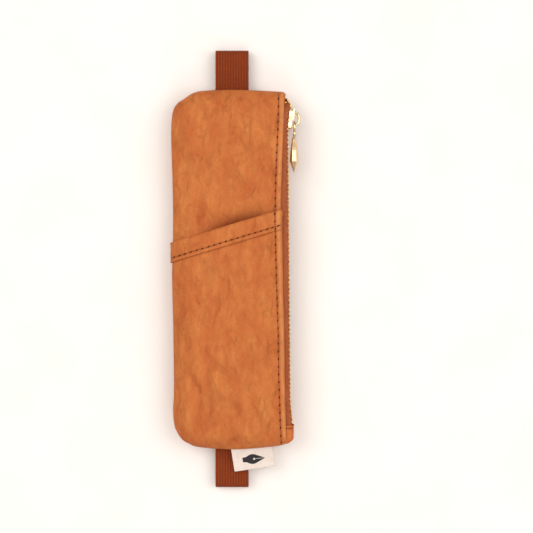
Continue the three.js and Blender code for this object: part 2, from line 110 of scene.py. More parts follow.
def patch(left, right, bottom, top):
    """A grid of points between four edge lines: rows run from bottom to top, columns from left to right."""
    u = np.linspace(0, 1, len(bottom))[None, :, None]
    v = np.linspace(0, 1, len(left))[:, None, None]
    edges = (1 - v) * bottom[None] + v * top[None] + (1 - u) * left[:, None] + u * right[:, None]
    corner = (1 - v) * ((1 - u) * bottom[0] + u * bottom[-1]) + v * ((1 - u) * top[0] + u * top[-1])
    return edges - corner


def smooth(t):
    """Rises from 0 to 1 with level ends."""
    t = np.clip(t, 0, 1)
    return t * t * (3 - 2 * t)


def bell(t):
    """1 at 0, dying away on both sides."""
    return np.exp(-np.square(t))


sewn = np.vstack([smooth_line(BOTTOM, 70)[::-1], smooth_line(LEFT, 120)[1:], smooth_line(TOP, 70)[1:]])


def seam_distance(xy):
    """How far each point lies from the sewn outline."""
    a, b = sewn[:-1], sewn[1:]
    span = b - a
    found = []
    for part in np.array_split(xy.reshape(-1, 2), 40):
        off = part[:, None] - a
        t = np.clip((off * span).sum(2) / (span * span).sum(1), 0, 1)
        found.append(np.sqrt(np.square(off - t[..., None] * span).sum(2).min(1)))
    return np.concatenate(found).reshape(xy.shape[:-1])


def across_pouch(xy):
    """0 at the sewn left edge, 1 at the zip."""
    return (xy[..., 0] + 34.5) / 61


def fullness(xy):
    """0 on the sewn outline, 1 where the panels lie level; the ends near the zip are the squarest."""
    reach = 15 - 8.5 * smooth((across_pouch(xy) - 0.6) / 0.35)
    return np.sqrt(1 - np.square(1 - np.clip(seam_distance(xy) / reach, 0, 1)))


def panel_height(xy, level):
    """The panel's outside before it creases: level is its height along the zip."""
    side = np.sign(level - seam_z)
    edge = seam_z + side * 0.75
    crown = side * CROWN * np.sin(math.pi * np.clip(across_pouch(xy), 0, 1))
    return edge + (level + crown - edge) * fullness(xy)


POCKET_SLOPE = 0.3
POCKET_AT = 22.9  # height of the pocket's mouth where x is -4


def mouth_y(x):
    """The pocket's slanted mouth."""
    return POCKET_AT + POCKET_SLOPE * (x + 4)


def gape(xy):
    """How much the pocket's mouth stands open, from 0 to 1."""
    x, y = xy[..., 0], xy[..., 1]
    return bell((x - 3) / 15) * smooth(1 - np.abs(mouth_y(x) - y) / np.where(y > mouth_y(x), 12, 40))


def mouth_shade(xy):
    """Painted shade in the pocket's mouth, darkest against its edge."""
    up = xy[..., 1] - mouth_y(xy[..., 0])
    return np.where(up > -1, bell(np.maximum(up, 0) / 5.5) * bell((xy[..., 0] - 1) / 18), 0)


noise.seed_set(1)  # otherwise the clock seeds noise_vector, and every run creases differently


def crumple(xy, seed, strength=1.0):
    """Height of the creases in millimetres, and how creased each point is from 0 to 1, which sets the painted
    crease shade.
    """
    height, crease_shade = np.zeros(xy.shape[:-1]), np.zeros(xy.shape[:-1])
    for at in np.ndindex(height.shape):
        p = Vector((xy[at][0], xy[at][1], 37.0 * seed))
        pulled = p + noise.noise_vector(p / 17) * 6 + noise.noise_vector(p / 4) * 1.0
        rise = noise.noise(p / 30) * 0.7 + noise.noise(p / 12) * 0.2 + noise.noise(p / 3) * 0.07
        for cell, weight, lean in ((15, 1.0, 0.45), (7.5, 0.65, -0.3), (3.8, 0.3, 0.3)):
            comes_and_goes = min(1, max(0, 0.5 + 1.8 * noise.noise(p / 15 + Vector((cell, 4, 2)))))
            turned = Vector((pulled.x + lean * pulled.y, pulled.y * 0.55, pulled.z))
            near, nearer_than = noise.voronoi(turned / cell)[0][:2]
            edge = (nearer_than - near) * cell
            fold = weight * comes_and_goes * max(0, 1 - edge / 1.7)
            crease_shade[at] = max(crease_shade[at], fold)
            facet = noise.cell(noise.voronoi(turned / cell)[1][0] * 7.3) - 0.5
            swell = min(edge, 4) * 0.045 * comes_and_goes + 0.17 * facet * min(1, edge / 1.5)
            rise += weight * swell - 0.1 * fold
        height[at] = rise
    return (height - height.mean()) * strength, crease_shade


def into_scene(name, data):
    """An object in the scene for a mesh, a lamp or a camera."""
    made = bpy.data.objects.new(name, data)
    bpy.context.scene.collection.objects.link(made)
    return made


def grid_faces(rows, columns):
    """The faces of a grid of points, row by row."""
    return [
        (j * columns + i, j * columns + i + 1, (j + 1) * columns + i + 1, (j + 1) * columns + i)
        for j in range(rows - 1)
        for i in range(columns - 1)
    ]


def settled(xy, z, side):
    """The sheet after a cloth simulation that puffs it out between its fixed edges, as a change of height.
    It runs ten times too large, because cloth settles best at that size."""
    rows, columns = z.shape
    up = 10 * MM
    mesh = bpy.data.meshes.new("cloth")
    points = np.dstack([xy, z]).reshape(-1, 3) * up
    mesh.from_pydata(points.tolist(), [], grid_faces(rows, columns))
    cloth = into_scene("cloth", mesh)
    pins = cloth.vertex_groups.new(name="pins")
    held = np.zeros((rows, columns), bool)
    held[[0, -1]] = True
    held[:, [0, -1, -2, -3]] = True
    pins.add(np.flatnonzero(held).tolist(), 1.0, "REPLACE")
    settings = cloth.modifiers.new("cloth", "CLOTH").settings
    settings.vertex_group_mass = "pins"
    settings.quality = 6
    settings.mass = 0.3
    settings.tension_stiffness = settings.compression_stiffness = 20
    settings.shear_stiffness = 8
    settings.bending_stiffness = 1.2
    settings.shrink_min = -0.03
    settings.use_pressure = True
    settings.uniform_pressure_force = 0.35 * side
    settings.effector_weights.gravity = 0
    scene = bpy.context.scene
    for step in range(1, 19):
        scene.frame_set(step)
    shape = cloth.evaluated_get(bpy.context.evaluated_depsgraph_get()).data
    moved = np.array([v.co[2] for v in shape.vertices]).reshape(rows, columns) / up - z
    bpy.data.objects.remove(cloth)
    scene.frame_set(1)
    return moved


CELL = 0.6  # a cell of the visible mesh
CLOTH_CELL = 2.0  # a cell of the simulated one
MOST_PUFF = 0.9  # a point may move this far from where it was laid


def puffed(left, right, bottom, top, level, side):
    def fewer(line, like):
        count = int(len(like) * CELL / CLOTH_CELL)
        return line[np.linspace(0, len(line) - 1, count).round().astype(int)]

    def spread(lines, like):
        at = np.linspace(0, lines.shape[1] - 1, len(like))
        return np.array([np.interp(at, np.arange(lines.shape[1]), line) for line in lines])

    xy = patch(fewer(left, left), fewer(right, left), fewer(bottom, bottom), fewer(top, bottom))
    moved = np.clip(settled(xy, panel_height(xy, level), side), -MOST_PUFF, MOST_PUFF)
    return spread(spread(moved, bottom).T, left).T


HEM = {"round": 0.45, "tuck": 4.5}


def edges_of(left, right, bottom, top, cell):
    """Four edge lines with points that pair up, about a cell apart."""
    length = np.abs(np.array(left[-1]) - left[0]).max()
    width = np.abs(np.array(top[-1]) - top[0]).max()
    rows, columns = int(length / cell), int(width / cell)
    sides = [smooth_line(line, rows) for line in (left, right)]
    return *sides, *[smooth_line(line, columns) for line in (bottom, top)]


def linear(code):
    """An sRGB hex colour as linear RGBA."""
    parts = [int(code[k : k + 2], 16) / 255 for k in (1, 3, 5)]
    return (*[c / 12.92 if c <= 0.04045 else ((c + 0.055) / 1.055) ** 2.4 for c in parts], 1)


def add(tree, kind, inputs=None, **settings):
    """One shader node, with its settings, and its inputs set or linked."""
    made = tree.nodes.new("ShaderNode" + kind)
    for name, value in settings.items():
        setattr(made, name, value)
    for name, value in (inputs or {}).items():
        if isinstance(value, bpy.types.NodeSocket):
            tree.links.new(value, made.inputs[name])
        else:
            made.inputs[name].default_value = value
    return made


def new_material(name):
    """A material to be filled, its node tree, and the places on the piece that its patterns follow."""
    material = bpy.data.materials.new(name)
    material.use_nodes = True
    tree = material.node_tree
    tree.nodes.clear()
    return material, tree, add(tree, "TexCoord").outputs["Object"]


def finish_material(tree, inputs):
    """Ends a material in one Principled shader with these inputs."""
    shader = add(tree, "BsdfPrincipled", inputs)
    add(tree, "OutputMaterial", {"Surface": shader.outputs[0]})


def per_metre(size):
    """A pattern's scale from the size of one of its features in millimetres."""
    return 1 / (size * MM)


def crumpled_paper_leather(name, light, mid, dark, fold, strip_highlight_colour):
    """Washable paper leather, dyed and mottled, dull, with a fibrous grain. Painted shade darkens its creases
    and hollows, and a painted highlight lightens the folded strip along the zip.
    """
    material, tree, place = new_material(name)
    warp = add(tree, "TexNoise", {"Vector": place, "Scale": per_metre(9), "Detail": 3})
    warp = add(tree, "VectorMath", {0: warp.outputs[1], 1: (0.004, 0.004, 0.004)}, operation="MULTIPLY")
    pulled = add(tree, "VectorMath", {0: place, 1: warp.outputs[0]}, operation="ADD").outputs[0]

    def leaning(angle, squeeze):
        turned = {"Vector": pulled, "Rotation": (0, 0, math.radians(angle)), "Scale": (1, squeeze, 1)}
        return add(tree, "Mapping", turned).outputs[0]

    clouds = add(tree, "TexNoise", {
        "Vector": leaning(22, 0.42), "Scale": per_metre(8), "Detail": 5, "Roughness": 0.68})
    streaks = add(tree, "TexNoise", {
        "Vector": leaning(-20, 0.36), "Scale": per_metre(3.4),
        "Detail": 5, "Roughness": 0.66, "Distortion": 0.8})
    fibres = add(tree, "TexNoise", {"Vector": place, "Scale": per_metre(0.9), "Detail": 4, "Roughness": 0.75})
    # A network of crease lines, pressed in as bumps and darkened as painted shade.
    lines = None
    for size, angle, width in ((12.0, 24, 0.1), (7.0, -20, 0.12), (4.0, 35, 0.15)):
        turned = leaning(angle, 0.42)
        net = add(tree, "TexVoronoi", {"Vector": turned, "Scale": per_metre(size)}, feature="DISTANCE_TO_EDGE")
        line = add(tree, "MapRange", {"Value": net.outputs["Distance"], "From Min": width, "From Max": 0.0})
        some = add(tree, "TexNoise", {"Vector": turned, "Scale": per_metre(size * 1.2), "Detail": 1})
        some = add(tree, "MapRange", {"Value": some.outputs[0], "From Min": 0.5, "From Max": 0.68})
        line = add(tree, "Math", {0: line.outputs[0], 1: some.outputs[0]}, operation="MULTIPLY").outputs[0]
        lines = add(tree, "Math", {0: lines, 1: line}, operation="MAXIMUM").outputs[0] if lines else line
    # Painted light from the mesh: shade along the creases, shade in the hollows, a highlight on the folded
    # strip.
    crease_shade, hollow_shade, strip_highlight = [
        add(tree, "Attribute", attribute_name=mark).outputs["Fac"] for mark in ("crease_shade", "hollow_shade", "strip_highlight")]
    worn = add(tree, "MapRange", {"Value": clouds.outputs[0], "From Min": 0.32, "From Max": 0.7})
    colour = add(tree, "Mix", {0: worn.outputs[0], 6: linear(dark), 7: linear(light)}, data_type="RGBA")
    thin = add(tree, "MapRange", {
        "Value": streaks.outputs[0], "From Min": 0.42, "From Max": 0.68, "To Max": 0.6})
    colour = add(tree, "Mix", {0: thin.outputs[0], 6: colour.outputs[2], 7: linear(mid)}, data_type="RGBA")
    colour = add(tree, "Mix", {0: strip_highlight, 6: colour.outputs[2], 7: linear(strip_highlight_colour)}, data_type="RGBA")
    # Painted shade: creases, crease lines and hollows are darkened towards the fold colour.
    for where, amount in ((crease_shade, 0.22), (lines, 0.24), (hollow_shade, 0.85)):
        deep = add(tree, "Math", {0: where, 1: amount}, operation="MULTIPLY").outputs[0]
        colour = add(tree, "Mix", {0: deep, 6: colour.outputs[2], 7: linear(fold)}, data_type="RGBA")
    speck = add(tree, "MapRange", {
        "Value": fibres.outputs[0], "From Min": 0.3, "From Max": 0.7, "To Min": 0.87, "To Max": 1.06})
    colour = add(tree, "HueSaturation", {"Color": colour.outputs[2], "Value": speck.outputs[0]})
    grain = None
    for height, strength, deep in (
            (fibres.outputs[0], 0.5, 0.12), (streaks.outputs[0], 1.0, 0.6), (lines, -0.9, 0.3),
            (clouds.outputs[0], 0.5, 0.9)):
        inputs = {"Height": height, "Strength": abs(strength), "Distance": deep * MM}
        if grain:
            inputs["Normal"] = grain.outputs[0]
        grain = add(tree, "Bump", inputs, invert=strength < 0)
    dull = add(tree, "MapRange", {
        "Value": streaks.outputs[0], "From Min": 0.3, "From Max": 0.7, "To Min": 0.6, "To Max": 0.78})
    finish_material(tree, {
        "Base Color": colour.outputs[0], "Roughness": dull.outputs[0], "Normal": grain.outputs[0],
        "IOR": 1.45, "Specular IOR Level": 0.25})
    return material


def make_piece(name, points, faces, materials, slot, nodes=(), body="root"):
    """A mesh object from points in millimetres, which rides on a body and stands for these frame nodes."""
    mesh = bpy.data.meshes.new(name)
    mesh.from_pydata((np.array(points, float) * MM).tolist(), [], [tuple(f) for f in faces])
    mesh.validate()
    for material in materials if isinstance(materials, list) else [materials]:
        mesh.materials.append(material)
    mesh.polygons.foreach_set("use_smooth", [True] * len(mesh.polygons))
    piece = into_scene(name, mesh)
    if body:
        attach(piece, body)
    if nodes:
        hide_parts(*nodes)
    return piece


def add_marks(piece, marks):
    """Writes the mesh attributes that the material reads; points past the given values get 0."""
    for mark, values in marks.items():
        full = np.zeros(len(piece.data.vertices), np.float32)
        full[: values.size] = values.ravel()
        piece.data.attributes.new(mark, "FLOAT", "POINT").data.foreach_set("value", full)


def thicken(piece, thick, offset=-1):
    """Gives a sheet its thickness in millimetres, inwards from its outside."""
    solid = piece.modifiers.new("thickness", "SOLIDIFY")
    solid.thickness = thick * MM
    solid.offset = offset


def add_rings(points, faces, loop, rings):
    """Carries a sheet on past loop, a row of point numbers with the sheet on its left."""
    for ring in rings:
        start = len(points)
        points.extend(ring)
        for k in range(len(loop) - 1):
            faces.append((start + k, start + k + 1, loop[k + 1], loop[k]))
        loop = list(range(start, start + len(ring)))


def sheet_piece(name, xy, z, side, material, nodes, marks, top_sewn=True):
    """A panel: its sewn edges turn in at the seam, and its right edge is folded under as a hem."""
    rows, columns = z.shape
    points = [Vector(p) for p in np.dstack([xy, z]).reshape(-1, 3)]
    faces = grid_faces(rows, columns)
    number = np.arange(rows * columns).reshape(rows, columns)
    top = number[-1, ::-1].tolist() if top_sewn else number[-1:, 0].tolist()
    loop = top[:-1] + number[:, 0][::-1].tolist()[:-1] + number[0].tolist()
    edge = [points[k] for k in loop]
    rings = []
    for depth, lift in ((0.35, 0.22), (1.5, 0.14)):
        ring = []
        for k, p in enumerate(edge):
            ahead = edge[min(k + 2, len(edge) - 1)] - edge[max(k - 2, 0)]
            inwards = Vector((-ahead.y, ahead.x, 0)).normalized()
            ring.append(Vector((p.x, p.y, seam_z + side * lift)) + inwards * depth)
        rings.append(ring)
    add_rings(points, faces, loop, rings)
    hem = number[:, -1].tolist()
    radius = HEM["round"]
    rings = []
    for angle in (math.pi * k / 4 for k in range(1, 5)):
        lean = Vector((radius * math.sin(angle), 0, side * radius * (math.cos(angle) - 1)))
        rings.append([points[k] + lean for k in hem])
    for tuck in (0.35, 1):
        rings.append([points[k] + Vector((-HEM["tuck"] * tuck, 0, -side * 2 * radius)) for k in hem])
    add_rings(points, faces, hem, rings)
    if side < 0:
        faces = [f[::-1] for f in faces]
    piece = make_piece(name, points, faces, material, nodes=nodes, slot="panel_leather")
    add_marks(piece, marks)
    thicken(piece, LEATHER)
    return piece


def surface_under(piece):
    """Gives the height of a piece's outside at x and y, in millimetres, seen from above (or below)."""
    mesh = piece.data
    tree = BVHTree.FromPolygons([v.co / MM for v in mesh.vertices], [p.vertices[:] for p in mesh.polygons])

    def height(x, y, side=1):
        hit = tree.ray_cast(Vector((x, y, side * 100)), Vector((0, 0, -side)))[0]
        return hit.z if hit else None

    return height


ZIP_SEAM = [(24.6, -95.0), (24.0, -83), (23.6, -70), (23.1, -55), (22.9, -37), (22.5, -24), (22.0, -8),
            (21.6, 6), (21.3, 21), (21.0, 29), (21.3, 36), (21.5, 47), (22.0, 60), (22.6, 74), (22.9, 82),
            (23.1, 94.6)]
zip_seam = smooth_line(ZIP_SEAM, 400)


def zip_seam_x(y):
    """Where the zip's row of stitches runs."""
    return np.interp(y, zip_seam[:, 1], zip_seam[:, 0])


def zip_seam_groove(xy):
    """Stitching pulls the sheet down in a groove, and the folded strip outside it puffs up."""
    off = xy[..., 0] - zip_seam_x(xy[..., 1])
    return -0.42 * bell(off / 0.55) + 0.45 * bell((off - 1.9) / 1.1)


def folded_edge(xy):
    """The fold along the zip rolls over, so the panel drops towards its right edge."""
    return -0.6 * bell((xy[:, -1:, 0] - xy[..., 0]) / 0.9)


def seam_groove_shade(xy):
    """Painted shade in the groove of the zip's stitching."""
    return 0.5 * bell((xy[..., 0] - zip_seam_x(xy[..., 1])) / 0.45)


def strip_highlight(xy):
    """A painted highlight along the folded strip beside the zip."""
    return 0.75 * bell((xy[..., 0] - zip_seam_x(xy[..., 1]) - 2.0) / 1.0)


# The fourth colour is the painted shade of creases and hollows, the fifth the painted highlight on the strip.
tan_leather = crumpled_paper_leather(
    "crumpled washable paper leather, tan", "#da8544", "#cf733a", "#c0602d", "#8c3f14", "#e4965a")

left, right, bottom, top = edges_of(LEFT, FRONT_RIGHT, BOTTOM, TOP, CELL)
right_of_front = right
xy = patch(left, right, bottom, top)
creases, folded = crumple(xy, 1)
ease = smooth(seam_distance(xy) / 6)
under_pocket = smooth((mouth_y(xy[..., 0]) + 0.5 - xy[..., 1]) / 3)
z = panel_height(xy, panel_z) + puffed(left, right, bottom, top, panel_z, 1)
z += creases * (0.35 + 0.65 * ease) * (1 - 0.7 * under_pocket) + zip_seam_groove(xy) * (1 - under_pocket)
z += folded_edge(xy)
z -= 2.1 * gape(xy) + 1.0 * under_pocket * fullness(xy) * smooth((24.5 - xy[..., 0]) / 6)
# Painted light on the front: shade in creases, pocket mouth and seam groove; a highlight on the folded strip.
front = sheet_piece(
    "front_panel_leather", xy, z, 1, tan_leather, ["front_panel"],
    {"crease_shade": folded, "strip_highlight": strip_highlight(xy), "hollow_shade": np.maximum(mouth_shade(xy), seam_groove_shade(xy))})
front_surface = surface_under(front)

# ---- Back panel ----
# The same washable paper leather behind, cut to the same outline and turned in with the front at the seam.
# The elastic is tacked to it. The cover that it is strapped to keeps it nearly flat.
left, right, bottom, top = edges_of(LEFT, FRONT_RIGHT, BOTTOM, TOP, CELL * 1.3)
xy = patch(left, right, bottom, top)
creases, folded = crumple(xy, 2, 0.55)
groove = zip_seam_groove(xy)
z = panel_height(xy, back_z + 0.35) - creases * smooth(seam_distance(xy) / 6) - groove * 0.8
z = np.maximum(z, back_z - 0.05)
# The back gets painted shade along its creases and a painted highlight on its folded strip.
back = sheet_piece(
    "back_panel_leather", xy, z, -1, tan_leather, ["back_panel"],
    {"crease_shade": folded, "strip_highlight": strip_highlight(xy)})
back_surface = surface_under(back)

# ---- Slip pocket ----
# A second sheet over the lower front, sewn in with the same seams. Its slanted mouth gapes a little, because
# the pouch has been bent, and the front behind it sinks.
POCKET_RIGHT = [(26.75, -94), (26.2, -64), (25.6, -29), (25.2, -16), (24.8, 7.5), (24.5, 29)]
POCKET_LIFT = 0.75  # the pocket's outside above the front's
POCKET_LEFT = [p for p in LEFT if p[1] < 0] + [(-34.2, 6), (-34.0, mouth_y(-34) - 0.8)]
POCKET_TOP = [POCKET_LEFT[-1], (-20, mouth_y(-20) - 0.8), (4, mouth_y(4) - 0.8), POCKET_RIGHT[-1]]


def pocket_height(xy):
    """The pocket's outside before it creases."""
    lift = POCKET_LIFT * (0.35 + 0.65 * smooth(seam_distance(xy) / 5))
    return panel_height(xy, panel_z) + lift + 1.5 * gape(xy)


left, right, bottom, top = edges_of(POCKET_LEFT, POCKET_RIGHT, BOTTOM, POCKET_TOP, CELL)
xy = patch(left, right, bottom, top)
creases, folded = crumple(xy, 3)
mouth_side = smooth((mouth_y(xy[..., 0]) - 11 - xy[..., 1]) / 6)
z = pocket_height(xy) + puffed(left, right, bottom, top, panel_z, 1) * mouth_side
z += creases * (0.3 + 0.7 * smooth(seam_distance(xy) / 6)) * (0.25 + 0.75 * mouth_side)
z += zip_seam_groove(xy) + folded_edge(xy)
# The pocket gets painted shade along its creases and in its seam groove, and a painted highlight on its strip.
pocket = sheet_piece(
    "pocket_panel_leather", xy, z, 1, tan_leather, ["pocket_panel"],
    {"crease_shade": folded * (0.3 + 0.7 * mouth_side), "strip_highlight": strip_highlight(xy), "hollow_shade": seam_groove_shade(xy)},
    top_sewn=False)

# ---- Pocket band ----
# A strip folded over the pocket's mouth and stitched through all its layers. Its lower edge is left raw.
BAND = {"wide": 10.0, "stitch": 7.6, "lift": 0.75, "tuck": 3.0}
slant = math.atan(POCKET_SLOPE)


def band_point(x, down):
    """The point down millimetres below the mouth, square to it, from the point of the mouth at x."""
    return x + down * math.sin(slant), mouth_y(x) - down * math.cos(slant)


columns = 84
steps_down = np.r_[np.linspace(BAND["wide"], 0.7, 17), np.linspace(0.5, 0, 4)]
rows_xy = np.zeros((len(steps_down), columns, 2))
for j, down in enumerate(steps_down):
    ends = (-35.0 - down * math.sin(slant) - 0.2, 24.9 - 0.06 * down - down * math.sin(slant) * 0.9)
    for i, x in enumerate(np.linspace(*ends, columns)):
        rows_xy[j, i] = band_point(x, down)
creases, folded = crumple(rows_xy, 4, 0.4)
inside_xy = rows_xy.copy()
inside_xy[..., 0] = np.maximum(rows_xy[..., 0], -33.9)
base = pocket_height(inside_xy) - 0.9 * (np.maximum(-33.9 - rows_xy[..., 0], 0))
stitch_off = steps_down[:, None] - BAND["stitch"]
z = base + BAND["lift"] + creases * 0.6 - 0.35 * bell(stitch_off / 0.5) + zip_seam_groove(rows_xy)
z += 0.22 * bell((steps_down[:, None] - 3.5) / 3)
z += folded_edge(rows_xy)
z[steps_down < 0.7] -= (0.7 - steps_down[steps_down < 0.7])[:, None] ** 2 * 0.6
points = [Vector(p) for p in np.dstack([rows_xy, z]).reshape(-1, 3)]
faces = grid_faces(*z.shape)
number = np.arange(z.size).reshape(z.shape)
rings = []
for angle in (0.3, 0.6, 0.85, 1.0):
    turn = math.pi * angle
    over = Vector((-math.sin(slant), math.cos(slant), 0)) * 0.55 * math.sin(turn)
    rings.append([points[k] + over + Vector((0, 0, 0.55 * (math.cos(turn) - 1))) for k in number[-1, ::-1]])
back_down = Vector((math.sin(slant), -math.cos(slant), -0.05)) * BAND["tuck"]
rings.append([p + back_down for p in rings[-1]])
add_rings(points, faces, number[-1, ::-1].tolist(), rings)
band = make_piece(
    "pocket_band_leather", points, faces, tan_leather, nodes=["pocket_band"], slot="panel_leather")
# The band is drawn darker along its raw lower edge, with painted shade in its stitch groove and seam groove.
band_edge_and_groove_dark = np.where(steps_down[:, None] > BAND["wide"] - 0.2, 0.9, 0.5 * bell(stitch_off / 0.45))
band_edge_and_groove_dark = np.maximum(band_edge_and_groove_dark, seam_groove_shade(rows_xy))
add_marks(band, {"crease_shade": folded * 0.5, "strip_highlight": strip_highlight(rows_xy), "hollow_shade": band_edge_and_groove_dark})
thicken(band, LEATHER * 0.9)
band_surface = surface_under(band)
pocket_surface = surface_under(pocket)

# ---- Lining ----
# Two pieces of plain-woven cotton inside, one behind each panel, sewn in with the zip's tapes. They show only
# when the zip is open.


def wave_scale(size):
    """A wave texture's scale from the distance between its bands in millimetres: at 1 it is 0.1 pi."""
    return 0.1 * math.pi / (size * MM)


def woven_cotton(name, light, dark, spacing):
    """Plain-woven cotton: threads cross at right angles, so it looks finely checked and quite dull."""
    material, tree, place = new_material(name)
    warp, weft = [
        add(tree, "TexWave", {"Vector": place, "Scale": wave_scale(spacing), "Distortion": 0.6, "Detail": 2},
            bands_direction=way) for way in "XY"]
    cloth = add(tree, "Math", {0: warp.outputs[1], 1: weft.outputs[1]}, operation="MULTIPLY")
    slubs = add(tree, "TexNoise", {"Vector": place, "Scale": per_metre(3), "Detail": 4})
    tone = add(tree, "Math", {0: cloth.outputs[0], 1: slubs.outputs[0]}, operation="MULTIPLY")
    tone = add(tree, "MapRange", {"Value": tone.outputs[0], "From Max": 0.45})
    colour = add(tree, "Mix", {0: tone.outputs[0], 6: linear(dark), 7: linear(light)}, data_type="RGBA")
    bump = add(tree, "Bump", {"Height": cloth.outputs[0], "Strength": 0.5, "Distance": 0.1 * MM})
    finish_material(tree, {
        "Base Color": colour.outputs[2], "Roughness": 0.9, "Normal": bump.outputs[0], "IOR": 1.5,
        "Sheen Weight": 0.2, "Sheen Roughness": 0.5})
    return material


lining_cloth = woven_cotton("plain woven cotton lining, sand", "#c9a67c", "#9c7a55", 0.314)
for name, level, side in (("front", panel_z, 1), ("back", back_z, -1)):
    low, high = corners(f"lining_{name}")
    ys = np.linspace(low[1], high[1], 90)
    left_edge = smooth_line(LEFT, 80)
    starts = np.interp(ys, left_edge[:, 1], left_edge[:, 0]) + 5
    ends = np.interp(ys, right_of_front[:, 1], right_of_front[:, 0]) - 6.6
    xy = np.array([[(x, y) for x in np.linspace(a, b, 34)] for a, b, y in zip(starts, ends, ys)])
    drop = 1.9 + (2.4 * gape(xy) + 0.9 * (xy[..., 1] < mouth_y(xy[..., 0])) if side > 0 else 0)
    ripple = np.array([[noise.noise(Vector((x, y, 5)) / 9) * 0.35 for x, y in row] for row in xy])
    z = panel_height(xy, level) - side * (drop + 0.3) + ripple
    faces = grid_faces(*z.shape)
    if side < 0:
        faces = [f[::-1] for f in faces]
    piece = make_piece(
        f"lining_{name}_cotton", np.dstack([xy, z]).reshape(-1, 3), faces, lining_cloth,
        nodes=[f"lining_{name}"], slot="lining_cotton")
    thicken(piece, 0.3)

# ---- Zip tapes ----
# Two twill tapes, each sewn under a panel's folded edge. They come out past it and turn in to the teeth, with
# a cord along the edge that the teeth are clamped to.
CHAIN = {"pitch": 2.43, "thick": 2.4}
teeth_top = corners("zip_teeth_front")[1][1]


def chain_x(y):
    """The outside of the teeth: nearly straight, leaning out at the end tab and through the slider."""
    y = np.asarray(y, float)
    x = 28.35 + 0.0085 * np.maximum(0, 75 - y) + 0.9 * np.clip((-68 - y) / 13, 0, 1) ** 2
    return x + 1.54 * np.clip((y - 75) / 12.5, 0, 1) - 2.6 * np.clip((y - 87.5) / 4.5, 0, 1) ** 1.5


def chain_spread(y):
    """How far each row has come away from the middle, above the slider."""
    y = np.asarray(y, float)
    return 0.75 * smooth((y - 76.5) / 7.5) * (1 - 0.5 * smooth((y - 87) / 4))


def twill_tape(name, light, dark):
    """Twill-woven polyester tape: fine slanting ribs, each painted lighter on top as a sheen, fuzzy in between.
    """
    material, tree, place = new_material(name)
    slanted = add(tree, "Mapping", {"Vector": place, "Rotation": (0.6, 0.5, math.radians(38))}).outputs[0]
    rib = 0.5425  # a real rib is two thirds of this; drawn coarser so that it shows
    ribs = add(tree, "TexWave", {
        "Vector": slanted, "Scale": wave_scale(rib), "Distortion": 2.0, "Detail": 3, "Detail Scale": 2.0})
    wear = add(tree, "TexNoise", {"Vector": place, "Scale": per_metre(2.2), "Detail": 5, "Roughness": 0.65})
    # Painted sheen: the colour is lighter on top of each rib.
    tone = add(tree, "Math", {0: ribs.outputs[1], 1: wear.outputs[0]}, operation="MULTIPLY")
    tone = add(tree, "MapRange", {"Value": tone.outputs[0], "From Min": 0.05, "From Max": 0.55})
    colour = add(tree, "Mix", {0: tone.outputs[0], 6: linear(dark), 7: linear(light)}, data_type="RGBA")
    bump = add(tree, "Bump", {"Height": ribs.outputs[1], "Strength": 0.7, "Distance": 0.2 * MM})
    finish_material(tree, {
        "Base Color": colour.outputs[2], "Roughness": 0.85, "Normal": bump.outputs[0], "IOR": 1.45,
        "Specular IOR Level": 0.25})
    return material


tape_cloth = twill_tape("twill polyester tape, rust", "#c87048", "#8a4423")
travel = abs(next(j for j in frame["joints"] if j["name"] == "slider_slide")["range_m"][1]) / MM
slider_y = (slider_low[1] + slider_high[1]) / 2
opening = (slider_y - travel - 5.5, teeth_top - 1.0)  # the stretch of zip that comes apart


def part_with_zip(piece, half):
    """A zip half turns with its body only from the slider to the top stops, and only outside the panel."""
    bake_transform(piece, "root", half, start=(0.0246, 0, 0), end=(0.0262, 0, 0))
    weights = piece.data.attributes["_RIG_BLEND"]
    values = np.zeros(len(piece.data.vertices), np.float32)
    weights.data.foreach_get("value", values)
    y = np.array([v.co.y for v in piece.data.vertices]) / MM
    apart = smooth((y - opening[0]) / 17) * smooth((opening[1] - y) / 30)
    weights.data.foreach_set("value", (values * apart).astype(np.float32))


